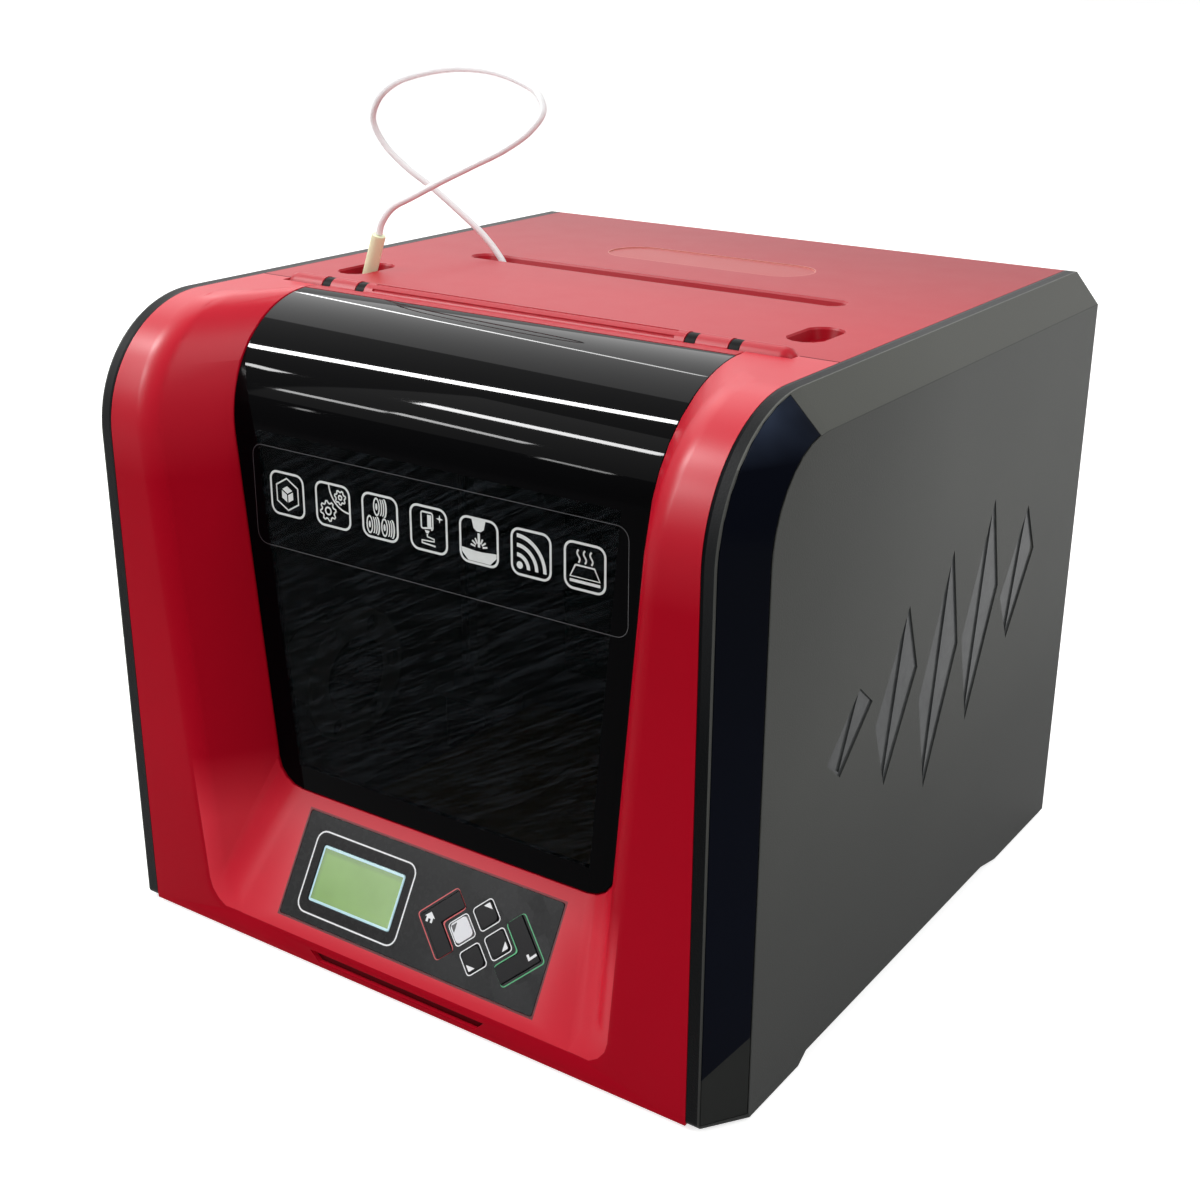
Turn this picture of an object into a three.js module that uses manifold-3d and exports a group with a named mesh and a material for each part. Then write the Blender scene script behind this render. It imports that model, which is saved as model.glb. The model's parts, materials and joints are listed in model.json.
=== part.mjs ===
// Desktop filament printer: a box-shaped body with a lifting smoked door, a moving bed, and a head on a lifting gantry.
// Lengths are millimetres. In the machine's own frame x runs across it from the middle, y back from its front face
// and z up from the foot of its side panels.
import * as THREE from 'three';
import { mergeVertices } from 'three/addons/utils/BufferGeometryUtils.js';
import Module from 'manifold-3d';

const wasm = await Module();
wasm.setup();

// Body
const bodyWidth = 420;
const bodyDepth = 415;
const bodyHeight = 358;
const footHeight = 2.5;
const cornerRadius = 70;
const bevelWidth = 15;
const bevelFront = 23;
const bevelTop = 18;
const bandWidth = 7.7;
const wall = 3;
const gap = 0.3;
const overrun = 2;

// Door and the recess that it closes
const recessDepth = 40;
const recessFlare = 23.5;
const pillarWidth = 23.4;
const doorNarrowing = 24.2;
const doorLow = 82;
const doorCornerRadius = 16;
const recessCornerRadius = 18;
const doorGap = 0.6;
const windowThickness = 3;
const rebateWidth = 5;
const rebateThickness = 2.2;
const lipHeight = 13;
const hingeY = 121;
const hingeDrop = 3;
const barrelRadius = 7;
const pinRadius = 2;
const collarInset = 7.4;
const collarPitch = 25;
const collarWidth = 6;
const knuckleInset = 22.3;
const railFront = 106;

// Top cover
const coverSkirt = 18;
const slotBack = 171.5;
const slotMargin = 58.3;
const slotBevelHalfWidth = 9.5;
const slotBevel = 8;
const slotWidth = 7;
const slotDepth = 9;
const pocketInset = 37.3;
const pocketY = 168;
const pocketWidth = 22;
const pocketLength = 40;
const pocketDepth = 6;
const pocketBevel = 3;
const pocketHole = 7.5;
const plaqueBack = 103;
const plaqueWidth = 141;
const plaqueHeight = 40;
const plaqueDepth = 0.8;

// Chassis
const chassisWall = 2.7;
const chassisFloor = 3;
const chassisDrop = 23;
const footRadius = 9;
const footInset = 42;

// Motion: the bed runs front to back, the gantry lifts, the head runs across
const rodRadius = 4;
const screwRadius = 4;
const motorSize = 42;
const motorLength = 38;
const motorCorner = 4;
const shaftRadius = 2.5;
const liftRodInset = 11.3;
const screwPitch = 17;
const liftBehindSlot = 30.5;
const crossRodBehindSlot = 22.5;
const crossRodSpan = 44;
const endHeight = 74;
const endInset = 13;
const endOutset = 7.5;
const endFrontDepth = 8;
const endBackDepth = 26;
const beltOutset = 5;
const beltBehindEnd = 6;
const beltWidth = 6;
const beltThickness = 1.5;
const pulleyRadius = 6;
const headMargin = 36;
const nozzleDrop = 148;
const nozzleToGantry = 52;
const bedRodX = 62;
const bedRodZ = 27;
const bedFrontRoom = 28.8;
const bedWidth = 186;
const bedDepth = 176;
const bedTop = 60;

// Round pieces and arcs are drawn with this many flats
const cornerSteps = 8;
const roundSides = 16;
const smallSides = 12;
const arcSteps = 4;
const fewSteps = 2;
const mergeTolerance = 1e-4;

// Colours from the photograph
const red = 0xa3121f;
const darkPlastic = 0x3a3b39;
const glossBlack = 0x0b0d14;
const smoked = 0x101114;
const steel = 0xb8bcc0;
const darkSteel = 0x2b2d30;
const aluminium = 0x9a9da0;
const rubberBlack = 0x161616;
const boardGreen = 0x1d5a34;
const displayGreen = 0x8caf5a;
const tan = 0xd8c193;
const tubeWhite = 0xe9e9ea;
const bedTape = 0xb89c56;

const plastic = (color, roughness = 0.55) => new THREE.MeshStandardMaterial({ color, roughness, metalness: 0 });
const metal = (color, roughness = 0.35) => new THREE.MeshStandardMaterial({ color, roughness, metalness: 0.9 });

// Places that several pieces share, worked out from the sizes above
const halfWidth = bodyWidth / 2;
const bandX = halfWidth - bevelWidth;
const shellHalf = bandX - bandWidth;
const arcZ = bodyHeight - cornerRadius;
const seamY = hingeY - gap;
const hingeZ = bodyHeight - hingeDrop;
const boreRadius = rodRadius + gap;
const coverUnder = bodyHeight - wall;
const doorTopHalf = shellHalf - recessFlare - pillarWidth;
const doorLowHalf = doorTopHalf - doorNarrowing;
const collarOuter = doorTopHalf - collarInset;
const collarInner = collarOuter - collarPitch;
const knuckleEnd = shellHalf - knuckleInset;
const slotY = bodyDepth - slotBack;
const slotHalf = shellHalf - slotMargin;
const pocketX = shellHalf - pocketInset;
const plaqueY = bodyDepth - plaqueBack;
const chassisHalf = shellHalf - wall - gap;
const chassisInner = chassisHalf - chassisWall;
const chassisFront = recessDepth + windowThickness + rebateThickness + wall;
const chassisBack = bodyDepth - wall - gap;
const chassisHeight = bodyHeight - chassisDrop;
const floorTop = gap + chassisFloor;
const liftRodX = chassisInner - liftRodInset;
const liftScrewX = liftRodX - screwPitch;
const liftY = slotY + liftBehindSlot;
const crossRodY = slotY + crossRodBehindSlot;
const endIn = liftScrewX - endInset;
const endOut = liftRodX + endOutset;
const endFront = crossRodY - endFrontDepth;
const endBack = crossRodY + endBackDepth;
const beltX = liftScrewX + beltOutset;
const beltY = endBack + beltBehindEnd;
const headY = slotY;
const headRest = headMargin - endIn;
const gantryZ = bodyHeight - nozzleDrop + nozzleToGantry;
const bedRest = chassisFront + bedFrontRoom + bedDepth / 2;

// A three.js geometry as a solid that can be cut and joined
function toSolid(geometry) {
  geometry.deleteAttribute('normal');
  geometry.deleteAttribute('uv');
  const merged = mergeVertices(geometry, mergeTolerance);
  const corners = merged.index.array;
  const triVerts = [];
  for (let i = 0; i < corners.length; i += 3) {
    const [a, b, c] = [corners[i], corners[i + 1], corners[i + 2]];
    if (a !== b && b !== c && c !== a) triVerts.push(a, b, c);
  }
  const vertProperties = new Float32Array(merged.attributes.position.array);
  return new wasm.Manifold(new wasm.Mesh({ numProp: 3, vertProperties, triVerts: new Uint32Array(triVerts) }));
}

function toGeometry(solid) {
  const mesh = solid.getMesh();
  const geometry = new THREE.BufferGeometry();
  geometry.setAttribute('position', new THREE.BufferAttribute(new Float32Array(mesh.vertProperties), 3));
  geometry.setIndex(new THREE.BufferAttribute(new Uint32Array(mesh.triVerts), 1));
  geometry.computeVertexNormals();
  return geometry;
}

// A solid carried elsewhere by a three.js matrix
function placed(solid, matrix) {
  const mesh = solid.getMesh();
  const geometry = new THREE.BufferGeometry();
  geometry.setAttribute('position', new THREE.BufferAttribute(new Float32Array(mesh.vertProperties), 3));
  geometry.applyMatrix4(matrix);
  const triVerts = new Uint32Array(mesh.triVerts);
  if (matrix.determinant() < 0) triVerts.reverse();
  return new wasm.Manifold(new wasm.Mesh({ numProp: 3, vertProperties: geometry.attributes.position.array, triVerts }));
}

const moved = (solid, x, y, z) => placed(solid, new THREE.Matrix4().makeTranslation(x, y, z));
const mirrored = (solid) => placed(solid, new THREE.Matrix4().makeScale(-1, 1, 1));
const mirroredRear = (solid) => placed(solid, new THREE.Matrix4().makeScale(1, -1, 1));

function rotated(solid, axis, angle) {
  const direction = new THREE.Vector3(Number(axis === 'x'), Number(axis === 'y'), Number(axis === 'z'));
  return placed(solid, new THREE.Matrix4().makeRotationAxis(direction, angle));
}

const join = (...solids) => solids.reduce((whole, piece) => whole.add(piece));
const cut = (body, ...tools) => tools.reduce((whole, tool) => whole.subtract(tool), body);

function box(x0, x1, y0, y1, z0, z1) {
  const geometry = new THREE.BoxGeometry(x1 - x0, y1 - y0, z1 - z0);
  return toSolid(geometry.translate((x0 + x1) / 2, (y0 + y1) / 2, (z0 + z1) / 2));
}

// A shape drawn in the plane square to an axis: (y, z) for x, (x, z) for y, (x, y) for z
function prism(axis, shape, from, to, curveSegments = arcSteps) {
  const geometry = new THREE.ExtrudeGeometry(shape, { depth: to - from, bevelEnabled: false, steps: 1, curveSegments });
  const turn = new THREE.Matrix4();
  if (axis === 'x') turn.set(0, 0, 1, from, 1, 0, 0, 0, 0, 1, 0, 0, 0, 0, 0, 1);
  if (axis === 'y') turn.set(1, 0, 0, 0, 0, 0, -1, to, 0, 1, 0, 0, 0, 0, 0, 1);
  if (axis === 'z') turn.makeTranslation(0, 0, from);
  return toSolid(geometry.applyMatrix4(turn));
}

// A round bar along an axis, at the two other coordinates in the order x, y, z
function rod(axis, radius, from, to, first, second, sides = smallSides) {
  const geometry = new THREE.CylinderGeometry(radius, radius, to - from, sides);
  const middle = (from + to) / 2;
  if (axis === 'x') geometry.rotateZ(Math.PI / 2).translate(middle, first, second);
  if (axis === 'y') geometry.translate(first, middle, second);
  if (axis === 'z') geometry.rotateX(Math.PI / 2).translate(first, second, middle);
  return toSolid(geometry);
}

// A body of revolution about x, y or z; the profile lists (radius, place along the axis) and closes on the axis
function turned(axis, profile, first, second, sides = roundSides) {
  const geometry = new THREE.LatheGeometry(profile.map(([r, h]) => new THREE.Vector2(r, h)), sides);
  if (axis === 'x') geometry.rotateZ(-Math.PI / 2).translate(0, first, second);
  if (axis === 'y') geometry.translate(first, 0, second);
  if (axis === 'z') geometry.rotateX(Math.PI / 2).translate(first, second, 0);
  return toSolid(geometry);
}

// A closed skin over a row of rings with the same count of points
function loft(rings) {
  const count = rings[0].length;
  const index = [];
  for (let ring = 0; ring + 1 < rings.length; ring++) {
    for (let i = 0; i < count; i++) {
      const a = ring * count + i;
      const b = ring * count + (i + 1) % count;
      index.push(a, b, b + count, a, b + count, a + count);
    }
  }
  const last = (rings.length - 1) * count;
  for (let i = 1; i + 1 < count; i++) index.push(0, i + 1, i, last, last + i, last + i + 1);
  const points = rings.flat();
  let volume = 0;
  for (let i = 0; i < index.length; i += 3) {
    const [a, b, c] = [points[index[i]], points[index[i + 1]], points[index[i + 2]]];
    volume += a.dot(b.clone().cross(c));
  }
  if (volume < 0) index.reverse();
  const geometry = new THREE.BufferGeometry().setFromPoints(points);
  geometry.setIndex(index);
  return toSolid(geometry);
}

function roundRect(x, y, width, height, radius) {
  const shape = new THREE.Shape();
  const [x0, x1, y0, y1] = [x - width / 2, x + width / 2, y - height / 2, y + height / 2];
  shape.moveTo(x0 + radius, y0);
  shape.lineTo(x1 - radius, y0);
  shape.absarc(x1 - radius, y0 + radius, radius, -Math.PI / 2, 0);
  shape.absarc(x1 - radius, y1 - radius, radius, 0, Math.PI / 2);
  shape.absarc(x0 + radius, y1 - radius, radius, Math.PI / 2, Math.PI);
  shape.absarc(x0 + radius, y0 + radius, radius, Math.PI, 1.5 * Math.PI);
  return shape;
}

const polygon = (points) => new THREE.Shape(points.map(([a, b]) => new THREE.Vector2(a, b)));

// The rings of an obround funnel, from its wide mouth to its narrow foot
function obroundRing(x, y, halfX, halfY, z) {
  const radius = Math.min(halfX, halfY);
  const ring = [];
  for (let i = 0; i < smallSides; i++) {
    const angle = 2 * Math.PI * (i + 0.5) / smallSides;
    const [c, s] = [Math.cos(angle), Math.sin(angle)];
    ring.push(new THREE.Vector3(x + Math.sign(c) * (halfX - radius) + radius * c,
      y + Math.sign(s) * (halfY - radius) + radius * s, z));
  }
  return ring;
}

// The scene graph: every piece hangs in the machine, which stands on its feet over the middle of its floor space
const printer = new THREE.Group();
const machine = new THREE.Group();
machine.position.set(0, -bodyDepth / 2, footHeight);
printer.add(machine);

function addPiece(name, solid, material, parent = machine) {
  const mesh = new THREE.Mesh(toGeometry(solid), material);
  mesh.name = name;
  parent.add(mesh);
  return mesh;
}

// Left is negative x. A piece is drawn on the right and mirrored.
function addPair(name, solid, material) {
  addPiece(`${name}_right`, solid, material);
  addPiece(`${name}_left`, mirrored(solid), material);
}

// Points (y, z) of the body's side, from the bottom of its front up, round the corner and down its rear
function sideOutline(front, top, bottom, rear) {
  const points = [[front, bottom]];
  for (let i = 0; i <= cornerSteps; i++) {
    const angle = (Math.PI / 2) * (i / cornerSteps);
    points.push([cornerRadius - (cornerRadius - front) * Math.cos(angle),
      arcZ + (cornerRadius - top) * Math.sin(angle)]);
  }
  points.push([rear, bodyHeight - top], [rear, bottom]);
  return points;
}

// Half the width of the recess, which widens upwards and towards the front
const doorTaper = (doorTopHalf - doorLowHalf) / (bodyHeight - doorLow);
const recessHalf = (z, shift) => doorLowHalf + doorTaper * (z - doorLow) + recessFlare * (1 - shift / recessDepth);

// A block across the machine between two curved faces that follow the body's front and round corner.
// Each face is set back by shift, lies inset behind that, starts at low, and is wider by grow on each side.
function curvedBlock(front, back, cornerSize, arcShare = 1, over = 0) {
  const faceRing = (place) => {
    const [frontPoint, backPoint] = [place(front), place(back)];
    return [new THREE.Vector3(-frontPoint.half, frontPoint.y, frontPoint.z),
      new THREE.Vector3(frontPoint.half, frontPoint.y, frontPoint.z),
      new THREE.Vector3(backPoint.half, backPoint.y, backPoint.z),
      new THREE.Vector3(-backPoint.half, backPoint.y, backPoint.z)];
  };
  const rings = [];
  const cornerParts = cornerSteps / 2;
  for (let i = 0; i <= cornerParts; i++) {
    const angle = (Math.PI / 2) * (i / cornerParts);
    rings.push(faceRing((face) => {
      const z = face.low + cornerSize * (1 - Math.cos(angle));
      return { half: recessHalf(z, face.shift) + face.grow - cornerSize * (1 - Math.sin(angle)),
        y: face.shift + face.inset, z };
    }));
  }
  const curve = (angle, lift) => faceRing((face) => {
    const radius = cornerRadius - face.inset;
    const z = arcZ + radius * Math.sin(angle);
    return { half: recessHalf(z, face.shift) + face.grow,
      y: face.shift + cornerRadius - radius * Math.cos(angle), z: z + lift };
  });
  for (let i = 0; i <= cornerSteps; i++) rings.push(curve((Math.PI / 2) * arcShare * (i / cornerSteps), 0));
  if (over > 0) rings.push(curve((Math.PI / 2) * arcShare, over));
  return loft(rings);
}

// Front shell: the recess is a tapered pocket whose floor is the door, and whose foot is the sloping panel face
const doorStep = 1;
const slopeRise = doorLow - doorStep - lipHeight;
const slopePerDepth = slopeRise / recessDepth;
const slopeLength = Math.hypot(recessDepth, slopeRise);
const slopeAngle = Math.atan2(slopeRise, recessDepth);
const floorThickness = windowThickness + gap + rebateThickness;

function recessTool(grow, inset, lower) {
  const front = { shift: -overrun, inset: 0, low: lipHeight - overrun * slopePerDepth - lower, grow };
  const back = { shift: recessDepth, inset, low: lipHeight + slopeRise - lower, grow };
  return curvedBlock(front, back, recessCornerRadius, 1, overrun);
}

function doorTool(inset, grow, depthOver) {
  const low = doorLow - grow;
  const front = { shift: recessDepth, inset: -overrun, low, grow };
  const back = { shift: recessDepth, inset: inset + depthOver, low, grow };
  return curvedBlock(front, back, doorCornerRadius, 1, overrun);
}

const knuckleLength = knuckleEnd - collarOuter - collarWidth / 2;
const hingeBar = (radius, from, to, sides = roundSides) => rod('x', radius, from, to, hingeY, hingeZ, sides);

// Control panel, drawn flat on the slope: across, then up from the lip's edge
const panelWidth = 179;
const panelHeight = 60.5;
const panelFoot = 9.9;
const overlayThickness = 1;
const overlayCorner = 1.5;
const displayX = -43;
const displayWidth = 61;
const displayHeight = 33;
const controlsRise = 28.3;
const displayUp = panelFoot + controlsRise;
const padX = 45.3;
const padUp = panelFoot + controlsRise;
const keyPitch = 12.3;
const keySize = 11.8;
const keyCorner = 2.5;
const keyTravel = 0.8;
const keyProud = 0.6;
const keyGap = 0.4;
const keyFlange = 0.9;
const keyFlangeThickness = 0.8;
const chevronOuter = 40;
const chevronInner = 26.4;
const chevronReach = 19;
const panelMiddle = panelFoot + panelHeight / 2;
const boardThickness = 1.6;
const boardMargin = 8;
const boardTop = -wall - gap;
const boardRoomFoot = boardTop - boardThickness - wall;
const keyHoleHalf = chevronOuter + 3 * keyFlange;
const keyHoleRise = keyPitch + keySize * Math.SQRT1_2 + 2 * keyFlange;

const onSlope = (solid) => moved(rotated(solid, 'x', slopeAngle), 0, 0, lipHeight);

// Grip slot in the lip, for lifting the machine by its front edge
const gripWidth = 124;
const gripHeight = 6;
const gripFoot = 3;

function frontShell() {
  const outer = prism('x', polygon(sideOutline(0, 0, 0, seamY)), -shellHalf, shellHalf);
  const hollow = prism('x', polygon(sideOutline(wall, wall, -overrun, seamY + overrun)),
    wall - shellHalf, shellHalf - wall);
  const skin = recessTool(wall, floorThickness, wall / Math.cos(slopeAngle));
  const displayHole = prism('z', roundRect(displayX, displayUp, displayWidth, displayHeight, overlayCorner),
    -wall * 2, overrun);
  const keyHole = prism('z', roundRect(padX, padUp, 2 * keyHoleHalf, 2 * keyHoleRise, keyCorner), -wall * 2, overrun);
  const overlaySeat = prism('z', roundRect(0, panelMiddle, panelWidth + 2 * gap, panelHeight + 2 * gap,
    overlayCorner), -overlayThickness - gap, overrun);
  const boardRoom = prism('z', roundRect(0, panelMiddle, panelWidth, panelHeight, overlayCorner), boardRoomFoot, -wall);
  const grip = prism('y', polygon([[-gripWidth / 2, gripFoot + gripHeight], [-gripWidth / 2 + gripHeight, gripFoot],
    [gripWidth / 2 - gripHeight, gripFoot], [gripWidth / 2, gripFoot + gripHeight]]), -overrun, wall + overrun);
  const knuckleRoom = hingeBar(barrelRadius + 2 * gap, collarOuter - collarWidth, knuckleEnd + 2 * gap);
  return cut(outer, recessTool(0, 0, 0), hollow.subtract(skin),
    doorTool(windowThickness + gap, doorGap, 0), doorTool(floorThickness, -rebateWidth, wall + overrun),
    box(-doorTopHalf, doorTopHalf, railFront, seamY + overrun, hingeZ - barrelRadius * 2, bodyHeight + overrun),
    onSlope(displayHole), onSlope(keyHole), onSlope(overlaySeat), onSlope(boardRoom), grip, knuckleRoom, mirrored(knuckleRoom));
}
addPiece('front_shell', frontShell(), plastic(red));

// Door: a curved smoked window hung on a red rail with a long barrel and two short knuckles
const windowArcShare = Math.acos((recessDepth + cornerRadius - railFront + gap) / cornerRadius) / (Math.PI / 2);

function doorWindow() {
  const front = { shift: recessDepth, inset: 0, low: doorLow, grow: 0 };
  const back = { shift: recessDepth, inset: windowThickness, low: doorLow, grow: 0 };
  return curvedBlock(front, back, doorCornerRadius, windowArcShare);
}
addPiece('door_window', doorWindow(), plastic(smoked, 0.08));

const railTongue = 8;
const tongueThickness = 3;
const grooveRadius = 0.9;
const grooveAngles = [100, 140].map(THREE.MathUtils.degToRad);

function doorTopRail() {
  const barrelHalf = collarInner - collarWidth / 2 - gap;
  const knuckleIn = collarInner + collarWidth / 2 + gap;
  const knuckleOut = collarOuter - collarWidth / 2 - gap;
  const stripHalf = doorTopHalf - doorGap;
  const stripBack = hingeY - barrelRadius - gap;
  const tongueTop = arcZ + Math.sqrt((cornerRadius - windowThickness) ** 2
    - (recessDepth + cornerRadius - railFront + railTongue) ** 2) - gap;
  const strip = box(-stripHalf, stripHalf, railFront, stripBack, coverUnder - wall, bodyHeight);
  const tongue = box(-stripHalf + rebateWidth * 2, stripHalf - rebateWidth * 2, railFront - railTongue,
    stripBack, tongueTop - tongueThickness, tongueTop);
  const webs = [[-barrelHalf, barrelHalf], [knuckleIn, knuckleOut], [-knuckleOut, -knuckleIn]].map(([from, to]) =>
    join(hingeBar(barrelRadius, from, to), box(from, to, railFront, hingeY, coverUnder - wall, bodyHeight)));
  const bore = hingeBar(pinRadius + gap, barrelHalf - collarWidth, knuckleOut + overrun);
  const grooves = grooveAngles.map((angle) => rod('x', grooveRadius, -barrelHalf + collarWidth, barrelHalf - collarWidth,
    hingeY + barrelRadius * Math.cos(angle), hingeZ + barrelRadius * Math.sin(angle), smallSides / 2));
  return cut(join(strip, tongue, ...webs), bore, mirrored(bore), ...grooves);
}
addPiece('door_top_rail', doorTopRail(), plastic(red));

// Hinge pins, each with the two black collars that close the gaps between the knuckles
function hingePin() {
  const collar = (at) => hingeBar(barrelRadius - gap, at - collarWidth / 2, at + collarWidth / 2);
  return join(hingeBar(pinRadius, collarInner - collarWidth, collarOuter + knuckleLength / 2, smallSides),
    collar(collarInner), collar(collarOuter));
}
addPair('hinge_pin', hingePin(), plastic(rubberBlack, 0.4));

// Top cover: an upturned tray with the slot, two pockets, a bare plaque and the fixed knuckles
const knuckleRoundShares = [[1, 1], [0.87, 0.5], [0.5, 0.13], [0, 0]];
const bossRadius = 9;
const bossDepth = 14;
const bossHoleDepth = 9;
const coverEdge = seamY + gap;

function topCover() {
  const tray = cut(box(-shellHalf, shellHalf, coverEdge, bodyDepth, bodyHeight - coverSkirt, bodyHeight),
    box(wall - shellHalf, shellHalf - wall, coverEdge - overrun, bodyDepth - wall,
      bodyHeight - coverSkirt - overrun, coverUnder));
  const slotPad = box(-slotHalf - wall, slotHalf + wall, slotY - slotBevelHalfWidth - wall,
    slotY + slotBevelHalfWidth + wall, bodyHeight - slotDepth, coverUnder);
  const pocketPad = prism('z', roundRect(pocketX, pocketY, pocketWidth + 2 * wall, pocketLength + 2 * wall,
    pocketWidth / 2), bodyHeight - pocketDepth - wall, coverUnder);
  const screwBoss = rod('z', bossRadius, coverUnder - bossDepth, coverUnder, liftScrewX, liftY);
  const rodBoss = rod('z', bossRadius, coverUnder - bossDepth, coverUnder, liftRodX, liftY);
  const knuckleStart = collarOuter + collarWidth / 2 + gap;
  const knuckle = turned('x', [[0, knuckleStart], [barrelRadius, knuckleStart],
    ...knuckleRoundShares.map(([across, along]) => [barrelRadius * across, knuckleEnd - barrelRadius * along])],
  hingeY, hingeZ);
  const barrelRoom = hingeBar(barrelRadius + 2 * gap, -collarOuter - collarWidth / 2 - gap / 2,
    collarOuter + collarWidth / 2 + gap / 2);
  const slotMouth = loft([obroundRing(0, slotY, slotHalf + overrun, slotBevelHalfWidth + overrun, bodyHeight + overrun),
    obroundRing(0, slotY, slotHalf, slotBevelHalfWidth, bodyHeight),
    obroundRing(0, slotY, slotHalf - slotBevel, slotWidth / 2, bodyHeight - slotDepth + wall),
    obroundRing(0, slotY, slotHalf - slotBevel, slotWidth / 2, bodyHeight - slotDepth - overrun)]);
  const pocket = join(loft([obroundRing(pocketX, pocketY, pocketWidth / 2, pocketLength / 2, bodyHeight + overrun),
    obroundRing(pocketX, pocketY, pocketWidth / 2, pocketLength / 2, bodyHeight),
    obroundRing(pocketX, pocketY, pocketWidth / 2 - pocketBevel, pocketLength / 2 - pocketBevel,
      bodyHeight - pocketDepth)]),
  rod('z', pocketHole, coverUnder - pocketDepth - overrun, bodyHeight, pocketX, pocketY));
  const plaque = prism('z', roundRect(0, plaqueY, plaqueWidth, plaqueHeight, plaqueHeight / 2),
    bodyHeight - plaqueDepth, bodyHeight + overrun);
  const pinBore = hingeBar(pinRadius + gap, collarOuter, collarOuter + knuckleLength / 2 + wall);
  const bores = [rod('z', boreRadius, coverUnder - bossDepth - overrun, coverUnder - bossDepth + bossHoleDepth,
    liftScrewX, liftY), rod('z', boreRadius, coverUnder - bossDepth - overrun,
    coverUnder - bossDepth + bossHoleDepth, liftRodX, liftY)];
  const right = [pocket, pinBore, ...bores];
  const whole = join(tray, slotPad, ...[pocketPad, screwBoss, rodBoss, knuckle].flatMap((s) => [s, mirrored(s)]));
  return cut(whole, barrelRoom, slotMouth, plaque, ...right, ...right.map(mirrored));
}
addPiece('top_cover', topCover(), plastic(red));

// Side panels: tubs with a wide bevel, open towards the machine, their foot raised between two footings
const panelMouth = shellHalf + gap;
const panelFloor = 8;
const arch = { front: 74, frontRamp: 8, rear: 82, rearRamp: 23, height: 5 };
const trimThickness = 2;
const trimEndShare = 0.9;
const trimEdgeShare = 0.03;

const panelRing = (x, front, top, bottom = 0, rear = bodyDepth) =>
  sideOutline(front, top, bottom, rear).map(([y, z]) => new THREE.Vector3(x, y, z));

// The strip of gloss trim follows the front bevel up and round the corner; grow widens it for its seat
function trimBlock(grow, over) {
  const across = new THREE.Vector3(bevelWidth, bevelFront, 0).normalize();
  const inward = new THREE.Vector3(-across.y, across.x, 0);
  const bevelPoint = (share, angle) => {
    const front = bevelFront * share;
    const top = bevelTop * share;
    return new THREE.Vector3(bandX + bevelWidth * share, cornerRadius - (cornerRadius - front) * Math.cos(angle),
      arcZ + (cornerRadius - top) * Math.sin(angle));
  };
  const ring = (angle, drop) => {
    const depth = new THREE.Vector3(inward.x, inward.y * Math.cos(angle), -inward.y * Math.sin(angle));
    const spread = new THREE.Vector3(across.x, across.y * Math.cos(angle), -across.y * Math.sin(angle));
    const near = bevelPoint(trimEdgeShare, angle).addScaledVector(spread, -grow);
    const far = bevelPoint(1 - trimEdgeShare, angle).addScaledVector(spread, grow);
    const points = [near.clone().addScaledVector(depth, -over), far.clone().addScaledVector(depth, -over),
      far.clone().addScaledVector(depth, trimThickness + grow), near.clone().addScaledVector(depth,
        trimThickness + grow)];
    return points.map((p) => new THREE.Vector3(p.x, p.y, p.z - drop));
  };
  const end = (Math.PI / 2) * trimEndShare + grow / cornerRadius;
  const rings = [ring(0, arcZ - wall + grow)];
  for (let i = 0; i <= cornerSteps; i++) rings.push(ring(end * (i / cornerSteps), 0));
  return loft(rings);
}

// Sunk lozenges on the side, in a row that leans back. The front half of each lies deeper, inside a narrow ledge.
const motif = { front: 84, rear: 66, foot: 104, head: 104, deep: 1.8, shallow: 0.9, ledge: 1.2 };
const motifFootShares = [0.34, 0.16, 0, 0.14, 0.36];
const motifHeadShares = [0.62, 0.8, 0.9, 1, 0.88];
const motifWidthShare = 0.9;
const motifLeanShare = 0.36;

function sideMotif() {
  const pitch = (bodyDepth - motif.front - motif.rear) / motifFootShares.length;
  const rise = bodyHeight - motif.foot - motif.head;
  return motifFootShares.flatMap((footShare, column) => {
    const y = motif.front + pitch * (column + 0.5);
    const half = pitch * motifWidthShare / 2;
    const [foot, head] = [footShare, motifHeadShares[column]].map((share) => motif.foot + rise * share);
    const lean = half * motifLeanShare;
    const middle = (foot + head) / 2;
    const whole = [[y - lean, foot], [y + half, middle + lean], [y + lean, head], [y - half, middle - lean]];
    const deep = [[y - lean, foot + 2 * motif.ledge], [y + lean, head - 2 * motif.ledge],
      [y - half + motif.ledge, middle - lean]];
    return [prism('x', polygon(whole), halfWidth - motif.shallow, halfWidth + overrun),
      prism('x', polygon(deep), halfWidth - motif.deep, halfWidth + overrun)];
  });
}

function sidePanel() {
  const tub = loft([panelRing(panelMouth, 0, 0), panelRing(bandX, 0, 0), panelRing(halfWidth, bevelFront, bevelTop)]);
  const innerX = halfWidth - wall;
  const hollow = loft([
    panelRing(panelMouth - overrun, wall, wall, panelFloor, bodyDepth - wall),
    panelRing(bandX - wall, wall, wall, panelFloor, bodyDepth - wall),
    panelRing(innerX, bevelFront + 2 * wall, bevelTop + wall, panelFloor, bodyDepth - wall)]);
  const archRear = bodyDepth - arch.rear;
  const archCut = prism('x', polygon([[arch.front, -overrun], [arch.front, 0], [arch.front + arch.frontRamp, arch.height],
    [archRear - arch.rearRamp, arch.height], [archRear, 0], [archRear, -overrun]].reverse()),
  panelMouth - overrun, halfWidth + overrun);
  return cut(tub, hollow, archCut, trimBlock(gap, overrun), ...sideMotif());
}
addPair('side_panel', sidePanel(), plastic(darkPlastic, 0.6));
addPair('side_trim', trimBlock(0, 0), plastic(glossBlack, 0.1));

// Control panel: a thin overlay over the display and six keys, whose flanges hold them under its rim
const panel = new THREE.Group();
panel.position.set(0, 0, lipHeight);
panel.rotation.x = slopeAngle;
machine.add(panel);

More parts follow.
